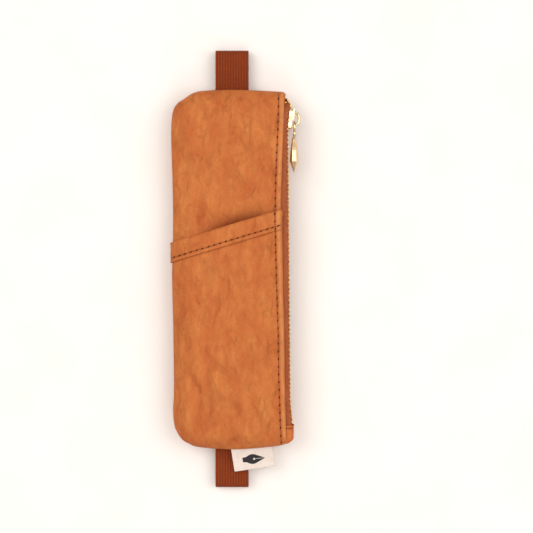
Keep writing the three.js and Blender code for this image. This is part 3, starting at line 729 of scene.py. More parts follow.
for name, side in (("front", 1), ("back", -1)):
    low, high = corners(f"zip_tape_{name}")
    flat_z = abs((high if side > 0 else low)[2] - zip_z) - 0.25
    first_tooth = corners(f"zip_teeth_{name}")[0][1] + 0.75 + (0 if side > 0 else CHAIN["pitch"] / 2)
    before = math.ceil((first_tooth - low[1] + 2.6) / CHAIN["pitch"])  # the tape starts inside the end tab
    ys = np.arange(first_tooth - before * CHAIN["pitch"], high[1] + 6, CHAIN["pitch"] / 8)
    points = []
    for y in ys:
        panel_edge = float(np.interp(y, right_of_front[:, 1], right_of_front[:, 0]))
        middle = float(chain_x(y)) - CHAIN["thick"] / 2
        cord = 1.7 + float(chain_spread(y))
        lower_end = 3.2 * float(smooth((y - 85) / 8))  # the top end of the tape turns in towards the seam
        top_z = flat_z - lower_end
        # between two teeth the cord bulges out further than a real one, so its dark tape stands in for the
        # shade there
        cord_x = middle + 0.42 - 0.42 * math.cos(2 * math.pi * (y - first_tooth) / CHAIN["pitch"])
        section = [(panel_edge - 5.5, top_z), (panel_edge - 2, top_z), (panel_edge + 0.4, top_z - 0.05),
                   (middle - 1.2, top_z - 0.15), (middle - 0.1, top_z - 0.4),
                   (cord_x, max(cord + 0.9, top_z - 1.1)), (cord_x, cord + 0.45), (middle + 0.1, cord)]
        line = smooth_line(section, 22)
        fray = 0.05 * noise.noise(Vector((y * 1.7, side * 9, 0)))
        points.extend((x + fray, y, zip_z + side * h) for x, h in line)
    faces = grid_faces(len(ys), 22)
    if side < 0:
        faces = [f[::-1] for f in faces]
    piece = make_piece(
        f"zip_tape_{name}_twill", points, faces, tape_cloth,
        body=None, nodes=[f"zip_tape_{name}"], slot="zip_tape")
    thicken(piece, 0.45, offset=0)
    bpy.context.view_layer.update()  # the blend is weighed on the thickened mesh
    solid = bpy.data.meshes.new_from_object(piece.evaluated_get(bpy.context.evaluated_depsgraph_get()))
    piece.modifiers.clear()
    piece.data = solid
    part_with_zip(piece, f"zip_half_{name}")

# ---- Teeth ----
# Each tooth is stamped from brass wire: two legs clamped over the tape's cord, and a head with a pip that
# locks into the next. The pieces are gilt, darker in random worn patches; the dark between them is the
# tape's cord, standing in for shade.


def gilt_metal(name, light, dark, roughness, patch_size):
    """Gold-plated zinc or brass, polished: bright mirror highlights that break up where it was tumbled."""
    material, tree, place = new_material(name)
    tone = add(tree, "TexNoise", {
        "Vector": place, "Scale": per_metre(patch_size), "Detail": 4, "Roughness": 0.6})
    colour = add(tree, "Mix", {0: tone.outputs[0], 6: linear(dark), 7: linear(light)}, data_type="RGBA")
    worn = add(tree, "MapRange", {
        "Value": tone.outputs[0], "From Min": 0.3, "From Max": 0.7,
        "To Min": roughness * 0.75, "To Max": roughness * 1.3})
    pits = add(tree, "TexNoise", {"Vector": place, "Scale": per_metre(0.25), "Detail": 2})
    bump = add(tree, "Bump", {"Height": pits.outputs[0], "Strength": 0.05, "Distance": 0.03 * MM})
    finish_material(tree, {
        "Base Color": colour.outputs[2], "Metallic": 1.0, "Roughness": worn.outputs[0],
        "Normal": bump.outputs[0]})
    return material


def box_solid(made, x, y, z):
    """Adds a box between pairs of limits to a bmesh."""
    cube = bmesh.ops.create_cube(made, size=1)["verts"]
    size = [b - a for a, b in (x, y, z)]
    middle = [(a + b) / 2 for a, b in (x, y, z)]
    for v in cube:
        v.co = Vector([m + s * c for m, s, c in zip(middle, size, v.co)])


def parts_of(made):
    """The points and faces of a bmesh, which is then freed."""
    made.verts.index_update()
    points = [v.co.copy() for v in made.verts]
    faces = [[v.index for v in f.verts] for f in made.faces]
    made.free()
    return points, faces


def tooth():
    """One tooth about the middle of its thickness, legs towards +Z, as points and faces."""
    made = bmesh.new()
    half = CHAIN["thick"] / 2
    box_solid(made, (-half, half), (-0.5, 0.5), (-0.75, 1.55))
    box_solid(made, (-half, -0.34), (-0.46, 0.46), (1.45, 2.8))
    box_solid(made, (0.34, half), (-0.46, 0.46), (1.45, 2.8))
    box_solid(made, (-0.5, 0.5), (-0.68, 0.68), (-0.6, 0.15))
    bmesh.ops.bevel(made, geom=made.edges[:], offset=0.16, segments=2, affect="EDGES", profile=0.6)
    points, faces = parts_of(made)
    return np.array(points), faces


tooth_brass = gilt_metal("stamped brass, gilt, polished", "#ffd36a", "#c98a2c", 0.24, 0.9)
tooth_points, tooth_faces = tooth()
for name, side in (("front", 1), ("back", -1)):
    low, high = corners(f"zip_teeth_{name}")
    points, faces = [], []
    for y in np.arange(low[1] + 0.75 + (0 if side > 0 else CHAIN["pitch"] / 2), high[1] - 0.5, CHAIN["pitch"]):
        lean = math.atan2(float(chain_x(y + 0.5) - chain_x(y - 0.5)), 1.0)
        spread = float(chain_spread(y))
        x, across, h = tooth_points.T
        placed = np.stack([
            chain_x(y) - CHAIN["thick"] / 2 + x * math.cos(lean) + across * math.sin(lean),
            y + across * math.cos(lean) - x * math.sin(lean),
            zip_z + side * (h + spread)], 1)
        faces.extend([[k + len(points) for k in (f if side > 0 else f[::-1])] for f in tooth_faces])
        points.extend(placed)
    piece = make_piece(
        f"zip_teeth_{name}_brass", points, faces, tooth_brass,
        body=None, nodes=[f"zip_teeth_{name}"], slot="zip_brass")
    part_with_zip(piece, f"zip_half_{name}")

# ---- Zip stops ----
# Top stops are bent from flat brass and clamped on each tape above the last tooth; the bottom stop is one
# staple through both tapes.
for name in ("zip_top_stop_front", "zip_top_stop_back", "zip_bottom_stop"):
    low, high = corners(name)
    made = bmesh.new()
    if name == "zip_bottom_stop":
        box_solid(made, (low[0], high[0] - 0.5), (low[1], high[1]), (low[2] + 0.5, high[2] - 0.5))
        box_solid(made, (high[0] - 0.8, high[0]), (low[1], high[1]), (low[2], high[2]))
    else:
        box_solid(made, (low[0], low[0] + 0.6), (low[1], high[1]), (low[2], high[2]))
        box_solid(made, (high[0] - 0.6, high[0]), (low[1], high[1]), (low[2], high[2]))
        inner = (low[2], low[2] + 0.5) if "front" in name else (high[2] - 0.5, high[2])
        box_solid(made, (low[0] + 0.2, high[0] - 0.2), (low[1] + 0.1, high[1] - 0.1), inner)
    bmesh.ops.bevel(made, geom=made.edges[:], offset=0.15, segments=3, affect="EDGES", profile=0.6)
    make_piece(name + "_brass", *parts_of(made), tooth_brass, nodes=[name], slot="zip_brass")

# ---- Slider ----
# A die-cast slider, gilt and polished: two shield-shaped plates with turned-in rims, a wedge between them, a
# rib down the outer plate and a D-shaped bridge on the rib for the pull.
SLIDER = {"plate": 1.2, "clear": 0.3, "tilt": math.radians(-7)}
SLIDER_SIDE = [(-5.5, 1.9), (-5.1, 2.7), (-4.2, 3.25), (-2.6, 3.4), (-0.6, 3.65), (1.0, 3.95), (2.4, 4.1),
               (4.2, 4.1), (5.1, 3.75), (5.5, 2.7)]  # how far along, and half how wide
slider_gilt = gilt_metal("die-cast zinc, gilt, polished", "#f8e6c4", "#dcbb82", 0.15, 2.5)


def skin(made, one, two):
    """Faces between two rings of a bmesh's points."""
    for k in range(len(one)):
        m = (k + 1) % len(one)
        made.faces.new((one[k], one[m], two[m], two[k]))


def tower(made, rings):
    """A closed solid over a stack of rings."""
    made.faces.new(rings[0][::-1])
    for one, two in zip(rings, rings[1:]):
        skin(made, one, two)
    made.faces.new(rings[-1])


def channel(made, outside, inside, rim):
    """A plate with turned-in rims, carried from the slider's narrow end to its wide one, between three x."""
    rings = []
    for y, half in SLIDER_SIDE:
        thin = half - 0.55
        section = [(outside, -half), (outside, half), (rim, half), (rim, thin),
                   (inside, thin), (inside, -thin), (rim, -thin), (rim, -half)]
        rings.append([made.verts.new((x, y, z)) for x, z in section])
    tower(made, rings)


def rounded(made, offset, segments=3, sharper_than=25):
    """Rounds the edges of a bmesh that turn by more than an angle in degrees."""
    bmesh.ops.recalc_face_normals(made, faces=made.faces[:])
    least = math.radians(sharper_than)
    edges = [e for e in made.edges if len(e.link_faces) == 2 and e.calc_face_angle() > least]
    bmesh.ops.bevel(
        made, geom=edges, offset=offset, segments=segments, affect="EDGES", profile=0.5, clamp_overlap=True)


def wire(made, line, section, up):
    """Sweeps a rounded section along a line of points; up is the section's second axis."""
    rings = []
    for k, p in enumerate(line):
        ahead = (line[min(k + 1, len(line) - 1)] - line[max(k - 1, 0)]).normalized()
        out = ahead.cross(up).normalized()
        rings.append([made.verts.new(p + out * a + up * b) for a, b in section])
    tower(made, rings)


def squared(c, power):
    """A cosine or sine pushed out towards the corners of a box."""
    return math.copysign(abs(c) ** power, c)


def oval(wide, high, count, square):
    """A section between an ellipse and a box."""
    turns = [2 * math.pi * k / count for k in range(count)]
    return [(squared(math.cos(a), square) * wide / 2, squared(math.sin(a), square) * high / 2) for a in turns]


near, far = SLIDER["clear"], -CHAIN["thick"] - SLIDER["clear"]
made = bmesh.new()
channel(made, near + SLIDER["plate"], near, near - 0.85)
channel(made, far - SLIDER["plate"], far, far + 0.7)
box_solid(made, (far - 0.3, near + 0.3), (2.2, 4.8), (-0.4, 0.4))
rib_x = near + SLIDER["plate"]
box_solid(made, (rib_x - 0.3, rib_x + 0.8), (-0.8, 5.6), (-1.1, 1.1))
rounded(made, 0.24, 3)
foot = rib_x + 0.3  # the bridge stands in the rib
arch = []
for k in range(41):
    a = math.pi * (k / 40 - 0.5)
    arch.append(Vector((foot + 3.75 * math.cos(a) ** 0.85 - 0.35, 3.95 * math.sin(a), 0)))
wire(made, arch, oval(1.4, 2.0, 16, 0.9), Vector((0, 0, 1)))
bmesh.ops.recalc_face_normals(made, faces=made.faces[:])
turn = Matrix.Translation((float(chain_x(slider_y)), slider_y, zip_z)) @ Matrix.Rotation(SLIDER["tilt"], 4, "Z")
made.transform(turn)
slider = make_piece(
    "slider_gilt", *parts_of(made), slider_gilt, body="slider", nodes=["slider_body"], slot="slider_gold")
slider.modifiers.new("flat faces stay flat", "WEIGHTED_NORMAL")

# ---- Pull ----
# A cast pull: a ring that hangs in the bridge, a short neck, and a six-sided bar that swells towards a
# pointed end, with crisp facets.
pivot = Vector(next(j for j in frame["joints"] if j["name"] == "pull_swing")["pos_m"]) / MM
pull_gilt = gilt_metal("die-cast zinc pull, gilt, polished", "#ecd2ac", "#d6b083", 0.18, 3.0)
made = bmesh.new()
loop = []
for k in range(32):
    a = 2 * math.pi * k / 32
    loop.append(Vector((0, -1.9 + 2.5 * squared(math.cos(a), 0.85), 1.75 * squared(math.sin(a), 0.8))))
section = oval(1.2, 0.95, 14, 0.8)
rings = []
for k, p in enumerate(loop):
    ahead = (loop[(k + 1) % 32] - loop[k - 1]).normalized()
    out = ahead.cross(Vector((1, 0, 0))).normalized()
    rings.append([made.verts.new(p + Vector((a, 0, 0)) + out * b) for a, b in section])
for k in range(32):
    skin(made, rings[k], rings[(k + 1) % 32])
# y from the pivot, then how wide and how deep
NECK = [(-4.2, 1.2, 1.8), (-4.6, 1.6, 2.5), (-5.0, 1.7, 2.7), (-6.7, 1.6, 2.3), (-7.4, 1.0, 1.5),
        (-8.3, 0.95, 1.4)]
tower(made, [
    [made.verts.new((-0.05 + a, y, b)) for a, b in oval(wide, deep, 14, 0.6)] for y, wide, deep in NECK])
bmesh.ops.recalc_face_normals(made, faces=made.faces[:])
bar = bmesh.new()
# y from the pivot, then half how wide and half how deep
STATIONS = [(-7.6, 0.75, 0.7), (-8.3, 1.15, 1.0), (-14.5, 1.95, 1.7), (-20.6, 2.4, 2.0), (-26.5, 0.12, 0.1)]
sixths = [math.pi * k / 3 for k in range(6)]
tower(bar, [
    [bar.verts.new((-0.25 + wide * math.cos(a), y, deep * math.sin(a) / math.sin(math.pi / 3))) for a in sixths]
    for y, wide, deep in STATIONS])
rounded(bar, 0.13, 2, 12)
soft_points, soft_faces = parts_of(made)
points, faces = parts_of(bar)
faces = soft_faces + [[k + len(soft_points) for k in f] for f in faces]
pull = make_piece(
    "pull_gilt", [p + pivot for p in soft_points + points], faces, pull_gilt,
    body="pull", nodes=["pull_tab"], slot="slider_gold")
pull.data.polygons.foreach_set("use_smooth", [k < len(soft_faces) for k in range(len(faces))])

# ---- Zip end tab ----
# A scrap of the same leather folded round the zip's lower end, turned under at the top and stitched. The end
# of the tape was melted off below it, and has set in a glossy bead.
tab_low, tab_high = corners("zip_end_tab")
tab_stitch_y = tab_high[1] - 1.5
TAB_ROOT = 24.9  # where it comes out of the panels
TAB_TURN = 0.97  # it goes this far round on each side, where 1 is a right angle
tab_rows, tab_columns = 26, 44
tab_ys = np.linspace(tab_low[1], tab_high[1], tab_rows)
tab_points = np.zeros((tab_rows, tab_columns, 3))
for j, y in enumerate(tab_ys):
    full = 0.62 + 0.38 * math.sqrt(min(1, (y - tab_low[1]) / 6))
    half = (panel_z - zip_z - 0.5) * full
    reach = tab_high[0] + 0.15 - 2.9 * max(0, (tab_low[1] + 3.2 - y) / 3.2) ** 2
    dent = 0.22 * bell((y - tab_stitch_y) / 0.4)
    lip = 0.3 * bell((y - tab_high[1] + 0.5) / 0.6)
    for i, turn in enumerate(np.linspace(TAB_TURN, -TAB_TURN, tab_columns)):
        bulge = (1 - abs(turn) ** 3) ** 0.5
        grow = lip + 0.18 * noise.noise(Vector((y / 3, turn * 3, 8))) - dent
        x = TAB_ROOT + (reach - TAB_ROOT) * bulge + grow * bulge
        tab_points[j, i] = (x, y, zip_z + (half + grow * (1 - bulge)) * math.sin(turn * math.pi / 2))
tab = make_piece(
    "zip_end_tab_leather", tab_points.reshape(-1, 3), grid_faces(tab_rows, tab_columns), tan_leather,
    nodes=["zip_end_tab"], slot="panel_leather")
# Painted shade in the stitch dent across the tab.
add_marks(tab, {"hollow_shade": np.repeat(bell((tab_ys - tab_stitch_y) / 0.45), tab_columns)})
thicken(tab, LEATHER)


def melted_polyester(name, light, dark):
    """Melted and set polyester: glossy, in amber and brown, with a lumpy skin."""
    material, tree, place = new_material(name)
    bubbles = add(tree, "TexNoise", {"Vector": place, "Scale": per_metre(0.7), "Detail": 3})
    tone = add(tree, "Mix", {0: bubbles.outputs[0], 6: linear(dark), 7: linear(light)}, data_type="RGBA")
    bump = add(tree, "Bump", {"Height": bubbles.outputs[0], "Strength": 0.4, "Distance": 0.1 * MM})
    finish_material(tree, {
        "Base Color": tone.outputs[2], "Roughness": 0.12, "Normal": bump.outputs[0], "IOR": 1.55,
        "Coat Weight": 0.6, "Coat Roughness": 0.05})
    return material


made = bmesh.new()
bmesh.ops.create_icosphere(made, subdivisions=4, radius=1)
for v in made.verts:
    lump = 1 + 0.22 * noise.noise(v.co * 1.4 + Vector((3, 1, 0)))
    size = Vector((1.1, 0.9, 2.6)) * lump
    v.co = v.co * size + Vector((28.2, tab_low[1] + 0.75, zip_z))
make_piece(
    "tape_end_bead", *parts_of(made), melted_polyester("melted polyester, set", "#d08a3a", "#7a3a12"),
    slot="zip_tape")

# ---- Elastic loop ----
# Flat ribbed elastic, braided from yarn with a rubber thread in each rib. It is sewn into one loop, which goes
# round a cover's board, and is tacked to the back panel.
elastic_low, elastic_high = corners("elastic_band")
ELASTIC = {"thick": 1.1, "ribs": 13, "rib_high": 0.16}


def ribbed_elastic(name, light, dark, ribs, x0, x1):
    """Braided elastic: ribs of bright yarn with painted shade in the valleys between them, and fine slanting
    stitches across each rib.
    """
    material, tree, place = new_material(name)
    split = add(tree, "SeparateXYZ", {0: place})
    count = add(tree, "MapRange", {
        "Value": split.outputs[0], "From Min": x0 * MM, "From Max": x1 * MM,
        "To Min": 0.3, "To Max": ribs - 0.3})
    along = add(tree, "Math", {0: count.outputs[0], 1: 2 * math.pi}, operation="MULTIPLY")
    # Painted shade: the colour darkens in the valleys between the ribs, in step with the mesh's ribs.
    wave = add(tree, "Math", {0: along.outputs[0]}, operation="COSINE")
    valley_shade = add(tree, "MapRange", {"Value": wave.outputs[0], "From Min": -1, "From Max": 1})
    knit = add(tree, "TexWave", {
        "Vector": place, "Scale": wave_scale(0.691), "Distortion": 2.2, "Detail": 2}, bands_direction="Y")
    fuzz = add(tree, "TexNoise", {"Vector": place, "Scale": per_metre(0.9), "Detail": 4})
    tone = add(tree, "Math", {0: valley_shade.outputs[0], 1: 0.75}, operation="MULTIPLY")
    tone = add(tree, "Math", {0: tone.outputs[0], 1: fuzz.outputs[0]}, operation="ADD")
    tone = add(tree, "MapRange", {"Value": tone.outputs[0], "From Min": 0.3, "From Max": 1.25})
    colour = add(tree, "Mix", {0: tone.outputs[0], 6: linear(light), 7: linear(dark)}, data_type="RGBA")
    bump = add(tree, "Bump", {"Height": knit.outputs[1], "Strength": 0.5, "Distance": 0.12 * MM})
    bump = add(tree, "Bump", {
        "Height": fuzz.outputs[0], "Strength": 0.4, "Distance": 0.1 * MM, "Normal": bump.outputs[0]})
    finish_material(tree, {
        "Base Color": colour.outputs[2], "Roughness": 0.82, "Normal": bump.outputs[0], "IOR": 1.45,
        "Specular IOR Level": 0.2})
    return material


elastic_yarn = ribbed_elastic(
    "braided elastic, brown", "#97421c", "#742e12", ELASTIC["ribs"], elastic_low[0], elastic_high[0])
loop_radius = elastic_high[2] / 2  # outside, at the loop's ends
reach = elastic_high[1] - loop_radius
route = []  # along the loop: y of its middle, and which way is outwards
for side in (-1, 1):
    for y in np.linspace(side * reach, -side * reach, 150, endpoint=False):
        route.append((y, 0.0, float(side)))
    for a in np.linspace(side * math.pi / 2, side * math.pi / 2 + math.pi, 14, endpoint=False):
        route.append((-side * reach, math.cos(a), math.sin(a)))
across = np.linspace(0, 1, ELASTIC["ribs"] * 6 + 1)
rib = ELASTIC["rib_high"] * (np.abs(np.sin(math.pi * (0.3 + (ELASTIC["ribs"] - 0.6) * across))) ** 0.7 - 0.5)
x_across = elastic_low[0] + (elastic_high[0] - elastic_low[0]) * across
edge_round = 0.3 * (1 - np.sqrt(1 - np.clip(1 - np.minimum(across, 1 - across) * 18 / 0.5, 0, 1) ** 2))
outer = loop_radius - 0.12 + rib - edge_round
inner = loop_radius - ELASTIC["thick"] + 0.12 - rib + edge_round
points = []
for y, ny, nz in route:
    for radius, order in ((outer, slice(None)), (inner, slice(None, None, -1))):
        for x, r in zip(x_across[order], radius[order]):
            points.append((x, y + ny * r, loop_radius + nz * r))
around = 2 * len(across)
faces = []
for k in range(len(route)):
    m = (k + 1) % len(route)
    for i in range(around):
        n = (i + 1) % around
        faces.append((k * around + i, k * around + n, m * around + n, m * around + i))
elastic = make_piece(
    "elastic_loop_braided", points, faces, elastic_yarn, nodes=["elastic_band"], slot="elastic_webbing")

# ---- Stitching ----
# Waxed polyester thread, dark brown. On the outside each stitch lies in a groove and dives into a slanting
# needle hole; its dashes are drawn in a near-black copy of the thread, as painted shade for the holes.
THREAD = {"round": 0.15, "hole": 0.3, "dash": 1.25, "seam": 4.1, "hem": 3.25}  # seam and hem: stitch lengths


def waxed_thread(name, light, dark, roughness, specular):
    """Twisted waxed thread: slanting plies with a soft shine."""
    material, tree, place = new_material(name)
    slanted = add(tree, "Mapping", {"Vector": place, "Rotation": (0, 0, math.radians(35))}).outputs[0]
    plies = add(tree, "TexWave", {"Vector": slanted, "Scale": wave_scale(0.314), "Distortion": 0.5})
    colour = add(tree, "Mix", {0: plies.outputs[1], 6: linear(dark), 7: linear(light)}, data_type="RGBA")
    bump = add(tree, "Bump", {"Height": plies.outputs[1], "Strength": 0.5, "Distance": 0.06 * MM})
    finish_material(tree, {
        "Base Color": colour.outputs[2], "Roughness": roughness, "Normal": bump.outputs[0], "IOR": 1.5,
        "Specular IOR Level": specular})
    return material


thread = waxed_thread("waxed polyester thread, russet", "#a9502a", "#7c3517", 0.55, 0.4)
# A near-black copy of the thread, painted shade for where it dives into the needle holes.
needle_hole_shade_thread = waxed_thread("waxed polyester thread, painted shade of the needle holes", "#2e1209", "#170805", 0.85, 0.1)


def stitch(points, faces, kinds, line, radius, flat, kind):
    """A short thread along a line of points, thin at both ends, added to a mesh being made."""
    start, count = len(points), 8
    for k, p in enumerate(line):
        ahead = (line[min(k + 1, len(line) - 1)] - line[max(k - 1, 0)]).normalized()
        out = ahead.cross(Vector((0, 0, 1))).normalized()
        up = out.cross(ahead)
        full = radius * math.sin(math.pi * (k + 0.6) / (len(line) + 0.2)) ** 0.35
        for n in range(count):
            a = 2 * math.pi * n / count
            points.append(p + out * full * math.cos(a) + up * full * flat * math.sin(a))
    for k in range(len(line) - 1):
        for n in range(count):
            m = (n + 1) % count
            a, b = start + k * count, start + (k + 1) * count
            faces.append((a + n, a + m, b + m, b + n))
            kinds.append(kind)
    faces.append(tuple(start + n for n in range(count))[::-1])
    faces.append(tuple(start + (len(line) - 1) * count + n for n in range(count)))
    kinds.extend([kind, kind])


def sewn_piece(name, points, faces, kinds, nodes):
    """Stitches as one piece, with each face in plain thread or in its near-black copy, painted shade for a
    needle hole.
    """
    piece = make_piece(name, points, faces, [thread, needle_hole_shade_thread], nodes=nodes, slot="dark_thread")
    piece.data.polygons.foreach_set("material_index", kinds)


def stitch_row(name, route, pitch, height, nodes, side=1, slant_by=22):
    """Stitches along a route of (x, y) points: height gives the surface at x, y."""
    route = np.array(route)
    along = np.r_[0, np.cumsum(np.linalg.norm(np.diff(route, axis=0), axis=1))]

    def place(s):
        return np.array([np.interp(s, along, route[:, 0]), np.interp(s, along, route[:, 1])])

    points, faces, kinds = [], [], []
    s = pitch * 0.4
    while s < along[-1]:
        middle = place(s)
        ahead = place(s + 0.3) - place(s - 0.3)
        wobble = noise.noise(Vector((s * 0.7, len(name), 0)))
        angle = math.atan2(ahead[1], ahead[0]) - side * math.radians(slant_by * (1 + 0.5 * wobble))
        direction = np.array([math.cos(angle), math.sin(angle)])
        dash = []
        for t in np.linspace(-0.5, 0.5, 7):
            at = middle + direction * t * THREAD["dash"]
            h = height(*at, side)
            if h is not None:
                dash.append(Vector((*at, h + side * (0.2 - 0.75 * t * t))))
        if len(dash) == 7:
            # The dash is drawn in the painted-shade copy of the thread.
            stitch(points, faces, kinds, dash, THREAD["hole"], 0.8, 1)
        between = []
        for t in np.linspace(0.12, 0.88, 9):
            at = place(min(s + t * pitch, along[-1]))
            h = height(*at, side)
            if h is not None and s + t * pitch < along[-1]:
                between.append(Vector((*at, h + side * (0.02 + 0.1 * math.sin(math.pi * t)))))
        if len(between) > 3:
            stitch(points, faces, kinds, between, THREAD["round"], 0.7, 0)
        s += pitch * (1 + 0.05 * noise.noise(Vector((s, 4, len(name)))))
    sewn_piece(name, points, faces, kinds, nodes)


def highest(*surfaces):
    """The outermost of several surfaces at x, y."""
    def height(x, y, side=1):
        found = [h for h in (s(x, y, side) for s in surfaces) if h is not None]
        return (max(found) if side > 0 else min(found)) if found else None
    return height


outside = highest(front_surface, pocket_surface, band_surface)
stitch_row("zip_seam_stitching_front", zip_seam, THREAD["seam"], outside, ["zip_seam_thread_front"])
stitch_row(
    "zip_seam_stitching_back", zip_seam[6:-6], THREAD["seam"], back_surface, ["zip_seam_thread_back"], side=-1)
hem_line = [band_point(x, BAND["stitch"]) for x in np.linspace(-36.6, 22.2, 120)]
stitch_row("pocket_hem_stitching", hem_line, THREAD["hem"], band_surface, ["pocket_hem_thread"], slant_by=-14)


def tab_point(turn):
    """A point on the outside of the end tab, where it is stitched."""
    row = tab_points[np.abs(tab_ys - tab_stitch_y).argmin()]
    i = (TAB_TURN - turn) / (2 * TAB_TURN) * (tab_columns - 1)
    low_i = int(min(i, tab_columns - 2))
    p = row[low_i] * (1 - i + low_i) + row[low_i + 1] * (i - low_i)
    out = Vector((1 - abs(turn) ** 3, 0, math.sin(turn * math.pi / 2))).normalized()
    return Vector(p), out


points, faces, kinds = [], [], []
for first in np.linspace(0.96, -0.96, 10)[:-1]:
    line = []
    for t in np.linspace(0, 0.19, 7):
        p, out = tab_point(first - t)
        line.append(p + out * (0.02 + 0.16 * math.sin(math.pi * t / 0.19)))
    stitch(points, faces, kinds, line, 0.22, 0.8, 0)
sewn_piece("end_tab_stitching", points, faces, kinds, ["end_tab_thread"])

# The elastic is tacked to the back with a box of stitches and a cross in it, top and bottom.
for name, middle in (("top", 1), ("bottom", -1)):
    low, high = corners(f"elastic_tack_{name}")
    x0, x1, y0, y1 = low[0] + 0.3, high[0] - 0.3, low[1], high[1]
    lines = [((x0, y0), (x1, y0)), ((x1, y0), (x1, y1)), ((x1, y1), (x0, y1)), ((x0, y1), (x0, y0)),
             ((x0, y0), (x1, y1)), ((x0, y1), (x1, y0))]
    under = elastic_high[2] - ELASTIC["thick"] + 0.02
    points, faces, kinds = [], [], []
    for a, b in lines:
        a, b = Vector((*a, 0)), Vector((*b, 0))
        many = max(2, round((b - a).length / 2.4))
        for k in range(many):
            line = []
            for t in np.linspace(0.08, 0.92, 6):
                p = a.lerp(b, (k + t) / many)
                line.append(Vector((p.x, p.y, under - 0.16 * math.sin(math.pi * t))))
            stitch(points, faces, kinds, line, 0.2, 0.8, 0)
    sewn_piece(f"elastic_tack_{name}_stitching", points, faces, kinds, [f"elastic_tack_{name}"])

# ---- Side label ----
# Undyed cotton tape folded once at the left, with its upper edge caught in the bottom seam. A pen nib is
# printed on it in black.
LABEL = {"top_left": (-2.7, -96.4), "top_right": (19.6, -95.2),
         "low_left": (-0.65, -109.9), "low_right": (21.4, -106.7)}
LABEL_Z = 9.6  # its lower edge
LABEL_GAP = 0.75  # between its two layers, at the lower edge


def label_point(s, t, layer=0.0):
    """A point of the label: s from its fold to its right edge, t from its lower edge up to the seam."""
    low = np.array(LABEL["low_left"]) * (1 - s) + np.array(LABEL["low_right"]) * s
    high = np.array(LABEL["top_left"]) * (1 - s) + np.array(LABEL["top_right"]) * s
    x, y = low * (1 - t) + high * t
    wave = (0.5 * math.sin(2.6 * s + 0.4) + 0.25 * math.sin(5 * s + 3 * t)) * (1 - t)
    z = LABEL_Z + (seam_z - 0.15 - LABEL_Z) * max(t, 0) ** 1.4 + wave
    return Vector((x, y, z - layer))


def printed_cotton(name, light, dark):
    """Undyed cotton tape, plain-woven and off-white, with a soft bloom and a few darker slubs."""
    material, tree, place = new_material(name)
    turned = add(tree, "Mapping", {"Vector": place, "Rotation": (0, 0, math.radians(-11))}).outputs[0]
    warp, weft = [
        add(tree, "TexWave", {"Vector": turned, "Scale": wave_scale(size), "Distortion": 0.8, "Detail": 2},
            bands_direction=way) for way, size in (("X", 0.3456), ("Y", 0.2827))]
    cloth = add(tree, "Math", {0: warp.outputs[1], 1: weft.outputs[1]}, operation="ADD")
    slubs = add(tree, "TexNoise", {"Vector": turned, "Scale": per_metre(4), "Detail": 5})
    tone = add(tree, "Math", {0: cloth.outputs[0], 1: slubs.outputs[0]}, operation="MULTIPLY")
    tone = add(tree, "MapRange", {"Value": tone.outputs[0], "From Min": 0.1, "From Max": 0.8})
    colour = add(tree, "Mix", {0: tone.outputs[0], 6: linear(dark), 7: linear(light)}, data_type="RGBA")
    bump = add(tree, "Bump", {"Height": cloth.outputs[0], "Strength": 0.45, "Distance": 0.08 * MM})
    finish_material(tree, {
        "Base Color": colour.outputs[2], "Roughness": 0.92, "Normal": bump.outputs[0], "IOR": 1.5,
        "Sheen Weight": 0.1, "Sheen Roughness": 0.5})
    return material


label_cotton = printed_cotton("undyed cotton tape", "#f7ebe1", "#e2cfc0")
points = []
rows, half_columns = 26, 34
fold_turn = np.linspace(0, math.pi, 7)[1:-1]
profile = [(s, LABEL_GAP) for s in np.linspace(1, 0.015, half_columns)]
profile += [(0.015 - 0.02 * math.sin(a), LABEL_GAP / 2 * (1 + math.cos(a))) for a in fold_turn]
profile += [(s, 0.0) for s in np.linspace(0.015, 1, half_columns)]
for t in np.linspace(0, 1, rows):
    for s, layer in profile:
        ragged = 0.012 * noise.noise(Vector((s * 30, layer * 5, 0))) * (1 - t)
        points.append(label_point(s, t + ragged, layer * (1 - 0.5 * t)))
faces = grid_faces(rows, len(profile))
label = make_piece("side_label_cotton", points, faces, label_cotton, nodes=["side_label"], slot="label_cotton")
thicken(label, 0.28)


def printing_ink(name):
    """Water-based black ink that has sunk into the weave, so it is matt and not quite even."""
    material, tree, place = new_material(name)
    grain = add(tree, "TexNoise", {"Vector": place, "Scale": per_metre(0.6), "Detail": 3}).outputs[0]
    colour = add(tree, "Mix", {0: grain, 6: linear("#1c1a1b"), 7: linear("#3a3637")}, data_type="RGBA")
    finish_material(tree, {"Base Color": colour.outputs[2], "Roughness": 0.85, "IOR": 1.45})
    return material


# The nib lies on its side, drawn in millimetres from its middle: two halves, with a slit from the breather
# hole to the point.
NIB = [(-6.6, 0), (-6.6, 1.25), (-4.4, 1.4), (-1.9, 2.55), (-0.2, 2.75), (1.2, 2.45), (6.8, 0.2), (6.8, 0.12),
       (1.0, 0.12)]
BREATHER = 0.62  # the hole's radius
points, faces = [], []
notch = [(0.4 + BREATHER * math.cos(a), BREATHER * math.sin(a)) for a in np.linspace(0.2, math.pi, 9)]
for side in (1, -1):
    flat = bmesh.new()
    flat.faces.new([flat.verts.new((x, side * y, 0)) for x, y in NIB + notch])
    bmesh.ops.triangulate(flat, faces=flat.faces[:])
    bmesh.ops.subdivide_edges(flat, edges=flat.edges[:], cuts=2, use_grid_fill=True)
    bmesh.ops.recalc_face_normals(flat, faces=flat.faces[:])
    start = len(points)
    for v in flat.verts:
        s = 0.5 + v.co.x / 25.0
        t = 0.43 + v.co.y / 12.8
        points.append(label_point(s, t) + Vector((0, 0, 0.07)))
    for f in flat.faces:
        faces.append([v.index + start for v in (f.verts if f.normal.z > 0 else reversed(f.verts))])
    flat.free()
ink = make_piece(
    "label_print_nib", points, faces, printing_ink("black printing ink on cotton"), slot="label_cotton")
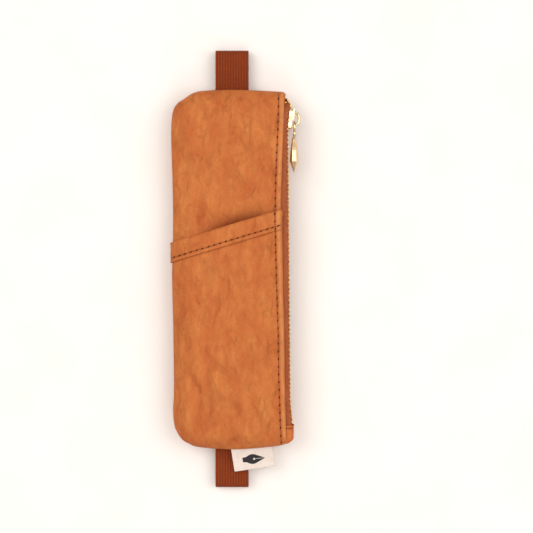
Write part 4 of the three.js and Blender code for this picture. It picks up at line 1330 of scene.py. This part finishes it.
thicken(ink, 0.04, offset=1)

# ---- Studio ----
# A pale floor and four soft lights: a small one overhead, and larger ones to the left, the front and the
# right, of which the left one is the strongest. The camera looks straight down.
world = bpy.data.worlds.new("studio")
bpy.context.scene.world = world
world.use_nodes = True
sky = world.node_tree
up = add(sky, "SeparateXYZ", {0: add(sky, "TexCoord").outputs["Generated"]})
above = add(sky, "MapRange", {"Value": up.outputs[2], "From Min": 0.08, "From Max": 0.6})
shade = add(sky, "Mix", {0: above.outputs[0], 6: linear("#4a4038"), 7: linear("#fffaf5")}, data_type="RGBA")
sky.links.new(shade.outputs[2], sky.nodes["Background"].inputs[0])
sky.nodes["Background"].inputs[1].default_value = 0.62


def matt_card(name, colour):
    """A pale painted board: even, dull, with the faintest mottling."""
    material, tree, place = new_material(name)
    mottle = add(tree, "TexNoise", {"Vector": place, "Scale": per_metre(40), "Detail": 3})
    tone = add(tree, "Mix", {0: mottle.outputs[0], 6: linear(colour), 7: linear("#fffdf9")}, data_type="RGBA")
    finish_material(tree, {"Base Color": tone.outputs[2], "Roughness": 0.9, "IOR": 1.45})
    return material


mesh = bpy.data.meshes.new("floor")
mesh.from_pydata([(-3, -3, 0), (3, -3, 0), (3, 3, 0), (-3, 3, 0)], [], [(0, 1, 2, 3)])
mesh.materials.append(matt_card("matt white board", "#fdf4ec"))
into_scene("floor", mesh)

# place and size in metres, and power in watts
LIGHTS = [("above", (0.06, 0.1, 1.25), 0.5, 1.6), ("left", (-0.7, 0.35, 1.0), 0.9, 5.3),
          ("front", (0.1, -1.0, 0.75), 0.6, 2.2), ("right", (0.75, 0.1, 0.95), 0.9, 4.2)]
aim = Vector((0, 0, 0.01))
for name, place, size, watts in LIGHTS:
    lamp = bpy.data.lights.new(name, "AREA")
    lamp.size = size
    lamp.energy = watts
    lit = into_scene(name, lamp)
    lit.location = place
    lit.rotation_euler = (aim - Vector(place)).to_track_quat("-Z", "Y").to_euler()

bpy.context.scene.view_settings.view_transform = "Standard"
FIELD = 0.2878  # metres across the picture, at the height of the zip
camera_data = bpy.data.cameras.new("camera")
camera_data.lens = 100
camera_data.sensor_width = 36
camera = into_scene("camera", camera_data)
camera.location = (0.0166, 0.0013, zip_z * MM + FIELD * camera_data.lens / camera_data.sensor_width)
bpy.context.scene.camera = camera
